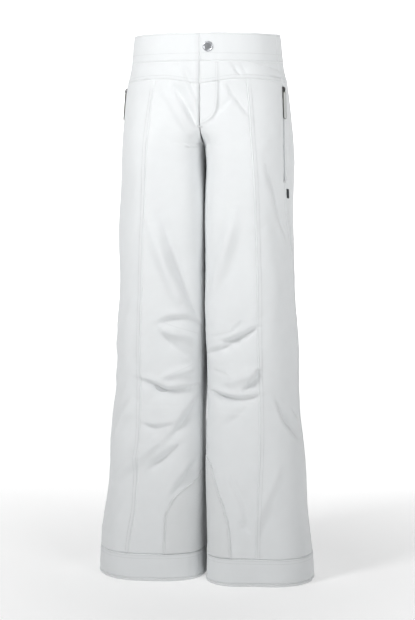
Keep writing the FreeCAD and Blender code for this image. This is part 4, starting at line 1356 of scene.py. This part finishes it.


class Stitching:
    """All the thread on the shell: the stitches on the fly flap are kept apart."""

    def __init__(self):
        self.shapes = {"garment_stitching": Shape(), "fly_stitching": Shape()}

    def row(self, side, turn, z, lift=0.0, pitch=PITCH):
        """A row of stitches through points given by turn and height, lying on the cloth."""
        turn, z, lift = together(turn, z, lift)
        points, normal = skin(side, turn, z, lift)
        run = np.concatenate([[0], np.cumsum(np.linalg.norm(np.diff(points, axis=0), axis=1))])
        at = np.arange(pitch / 2, run[-1], pitch * LOOSE)
        if not len(at):
            return
        centre = np.stack([np.interp(at, run, points[:, k]) for k in range(3)], -1)
        up = np.stack([np.interp(at, run, normal[:, k]) for k in range(3)], -1)
        ahead = np.stack([np.interp(at + 0.6, run, points[:, k]) for k in range(3)], -1)
        behind = np.stack([np.interp(at - 0.6, run, points[:, k]) for k in range(3)], -1)
        along = unit(ahead - behind + 1e-9)
        centre = centre + up * 0.04
        swings = (centre[:, 0] > 0) & (centre[:, 1] < 0) & (centre[:, 2] > FLAP_LOW_Z)
        for name, chosen in (("fly_stitching", swings), ("garment_stitching", ~swings)):
            if chosen.any():
                self.shapes[name].beads(centre[chosen], along[chosen], up[chosen], STITCH, THREAD_WIDE, 0.5)

    def beside(self, side, edge, distance, top, bottom, lift=0.0):
        """A row beside an upright seam; edge gives the seam's turn at a height."""
        z = np.linspace(top, bottom, max(12, int((top - bottom) / 2.5)))
        seam_turn = edge(z)
        turn = seam_turn + turns(side, seam_turn, z, distance)
        self.row(side, turn, z, lift + pucker(turn, z, abs(distance)))

    def under(self, side, first, last, height, lift=0.0):
        """A row along a level seam; height gives z at a turn."""
        turn = np.linspace(first, last, 260)
        z = height(turn)
        self.row(side, turn, z, lift + np.where(turn < 1, centre_lap(side)(turn, z), 0.0))


def make_stitching():
    thread = Stitching()
    for name, side in SIDES.items():
        hip_seam = float(SIDE_SEAM_TURN[side](ZIP_TOP_Z))
        for distance in (2.3, 7.6):
            thread.beside(side, lambda z, side=side: princess(side, z), distance, -92.0, CUFF_TOP_Z + 1, 0.5)
            thread.beside(side, SIDE_SEAM_TURN[side], distance, ZIP_BOTTOM_Z - 10, CUFF_TOP_Z + 1, 0.3)
            thread.under(side, 0.01, hip_seam - 0.02, beyond(yoke_z, distance), 0.4)
            thread.under(side, hip_seam + 0.02, 1.99, beyond(yoke_z, distance), 0.4)
            thread.under(side, 0.0, 2.0, level(CUFF_TOP_Z - distance - 0.6), 0.5)
        for edge in (-1, 1):
            thread.beside(side, SIDE_SEAM_TURN[side], edge * 6.0, ZIP_TOP_Z - 2, ZIP_BOTTOM_Z - 4, 0.1)
        thread.beside(side, level(1.995), -3.0, -125.0, CROTCH_Z - 2, 0.3)
        for drop in (2.6, 36.0, BAND_DEPTH - 2.4):
            thread.under(side, 0.012, hip_seam - 0.01, beyond(band_top, -drop), 0.4)
            thread.under(side, hip_seam + 0.01, 2.0, beyond(band_top, -drop), 0.4)
        thread.under(side, 0.0, 2.0, level(HEM_Z + 6.4), 0.5)
        top = GUARD_EDGE[side][0][0]
        z = np.linspace(top - 6, CUFF_TOP_Z + 3, 90)
        turn = guard_front(side, z)
        thread.row(side, turn - turns(side, turn, z, 3.6), z, GUARD_LIFT)
        for points in DARTS[side]:
            run = curve_through(points, 60)
            thread.row(side, run[:, 0], run[:, 1] + 4.5, 0.0)
    for inward in (2.6, 7.0):
        run = curve_through(J_STITCH, 160)
        pull = unit(np.gradient(run, axis=0))
        run = run + np.stack([pull[:, 1], -pull[:, 0]], -1) * inward * (1 if run[0, 1] < 0 else -1)
        keep = run[:, 0] > 0.5
        turn = turn_at(LEFT, run[keep, 0], run[keep, 1])
        lift = centre_lap(LEFT)(turn, run[keep, 1])
        thread.row(LEFT, turn, run[keep, 1], lift)
    z = np.linspace(-3.0, FLY_BOTTOM_Z + 4, 80)
    turn = turn_at(LEFT, np.full(80, 2.4), z)
    thread.row(LEFT, turn, z, centre_lap(LEFT)(turn, z) + np.where(z > -44, 0.4, 0.0))
    thread.shapes["garment_stitching"].piece("garment_stitching", THREAD, slot="shell", replaces=())
    fly = thread.shapes["fly_stitching"].piece("fly_stitching", THREAD, slot="shell", replaces=(), ride=False)
    blend_fly(fly)


make_stitching()

# ---------------------------------------------------------------- stage, light and camera


def placed(name, data):
    made = bpy.data.objects.new(name, data)
    bpy.context.collection.objects.link(made)
    return made


def flat_stage(name, corners, look):
    mesh = bpy.data.meshes.new(name)
    mesh.from_pydata(corners, [], [(0, 1, 2, 3)])
    mesh.materials.append(look)
    placed(name, mesh)


def glowing(name, colour, strength):
    made = material(name, colour, 0.9, specular=0.0)
    shader = made.node_tree.nodes["Principled BSDF"]
    shader.inputs["Emission Color"].default_value = (1, 1, 1, 1)
    shader.inputs["Emission Strength"].default_value = strength
    return made


def brighter_away(look, near, far):
    """Make a floor's glow rise with distance from its middle."""
    tree = look.node_tree
    where = added(tree, "TexCoord", {}, {})["Object"]
    beside = added(tree, "VectorMath", {0: where}, {1: (1, 1, 0)}, operation="MULTIPLY")["Vector"]
    distance = added(tree, "VectorMath", {0: beside}, {}, operation="LENGTH")["Value"]
    rise = added(tree, "MapRange", {"Value": distance},
                 {"From Min": 0.3, "From Max": 1.1, "To Min": near, "To Max": far})
    tree.links.new(rise["Result"], tree.nodes["Principled BSDF"].inputs["Emission Strength"])
    return look


def make_stage():
    reach, z, low, high = 5.0, HEM_Z * MM - 0.0006, HEM_Z * MM - 0.0006 - 0.5, 4.0
    paper = glowing("floor_paper", (0.72, 0.72, 0.72), FLOOR_GLOW)
    flat_stage("floor", [(-reach, -reach, z), (reach, -reach, z), (reach, reach, z), (-reach, reach, z)],
               brighter_away(paper, FLOOR_GLOW, 2 * FLOOR_GLOW))
    flat_stage("backdrop", [(x, reach, height) for x, height in
                            ((-reach, low), (reach, low), (reach, high), (-reach, high))],
               glowing("backdrop_paper", (0.86, 0.86, 0.86), 1.15))


def area_light(name, place_at, target, power, size, spread):
    """A softbox whose beam is narrowed to a spread in degrees, so that it fades towards the hems."""
    lamp = bpy.data.lights.new(name, "AREA")
    lamp.energy, lamp.size, lamp.spread = power, size, math.radians(spread)
    made = placed(name, lamp)
    made.location = place_at
    made.rotation_euler = (Vector(target) - Vector(place_at)).to_track_quat("-Z", "Y").to_euler()


FLOOR_GLOW = 0.34
WORLD = 0.21


def make_light():
    world = bpy.data.worlds.new("studio")
    bpy.context.scene.world = world
    world.use_nodes = True
    world.node_tree.nodes["Background"].inputs["Color"].default_value = (0.985, 0.995, 1.0, 1)
    world.node_tree.nodes["Background"].inputs["Strength"].default_value = WORLD
    area_light("key", (-1.1, -1.35, 0.8), (0, 0, -0.28), 5.3, 0.45, 92)
    area_light("fill", (1.5, -1.7, 0.6), (0.05, 0, 0.05), 4.0, 1.0, 72)
    area_light("top", (-0.3, -0.9, 1.3), (0, 0, -0.05), 0.7, 0.8, 75)


def make_camera():
    camera = bpy.data.cameras.new("camera")
    camera.lens, camera.sensor_width = 90.3, 36.0
    camera.clip_start = 0.05
    made = placed("camera", camera)
    azimuth, elevation, reach = math.radians(8), math.radians(5), 2.923
    target = Vector((0.0, 0.0, HEM_Z * MM / 2))
    back = Vector((math.sin(azimuth) * math.cos(elevation), -math.cos(azimuth) * math.cos(elevation),
                   math.sin(elevation)))
    made.location = target + back * reach
    made.rotation_euler = (-back).to_track_quat("-Z", "Y").to_euler()
    bpy.context.scene.camera = made


make_stage()
make_light()
make_camera()
bpy.context.scene.view_settings.view_transform = "Standard"

FINISHES = {"snap_socket": SNAP, "snap_stud": SNAP}
for node in frame["nodes"]:
    name = node["name"] if isinstance(node, dict) else node
    made = bpy.data.objects.get(name)
    if made is not None and name in FINISHES:
        for slot in made.material_slots:
            slot.material = FINISHES[name]
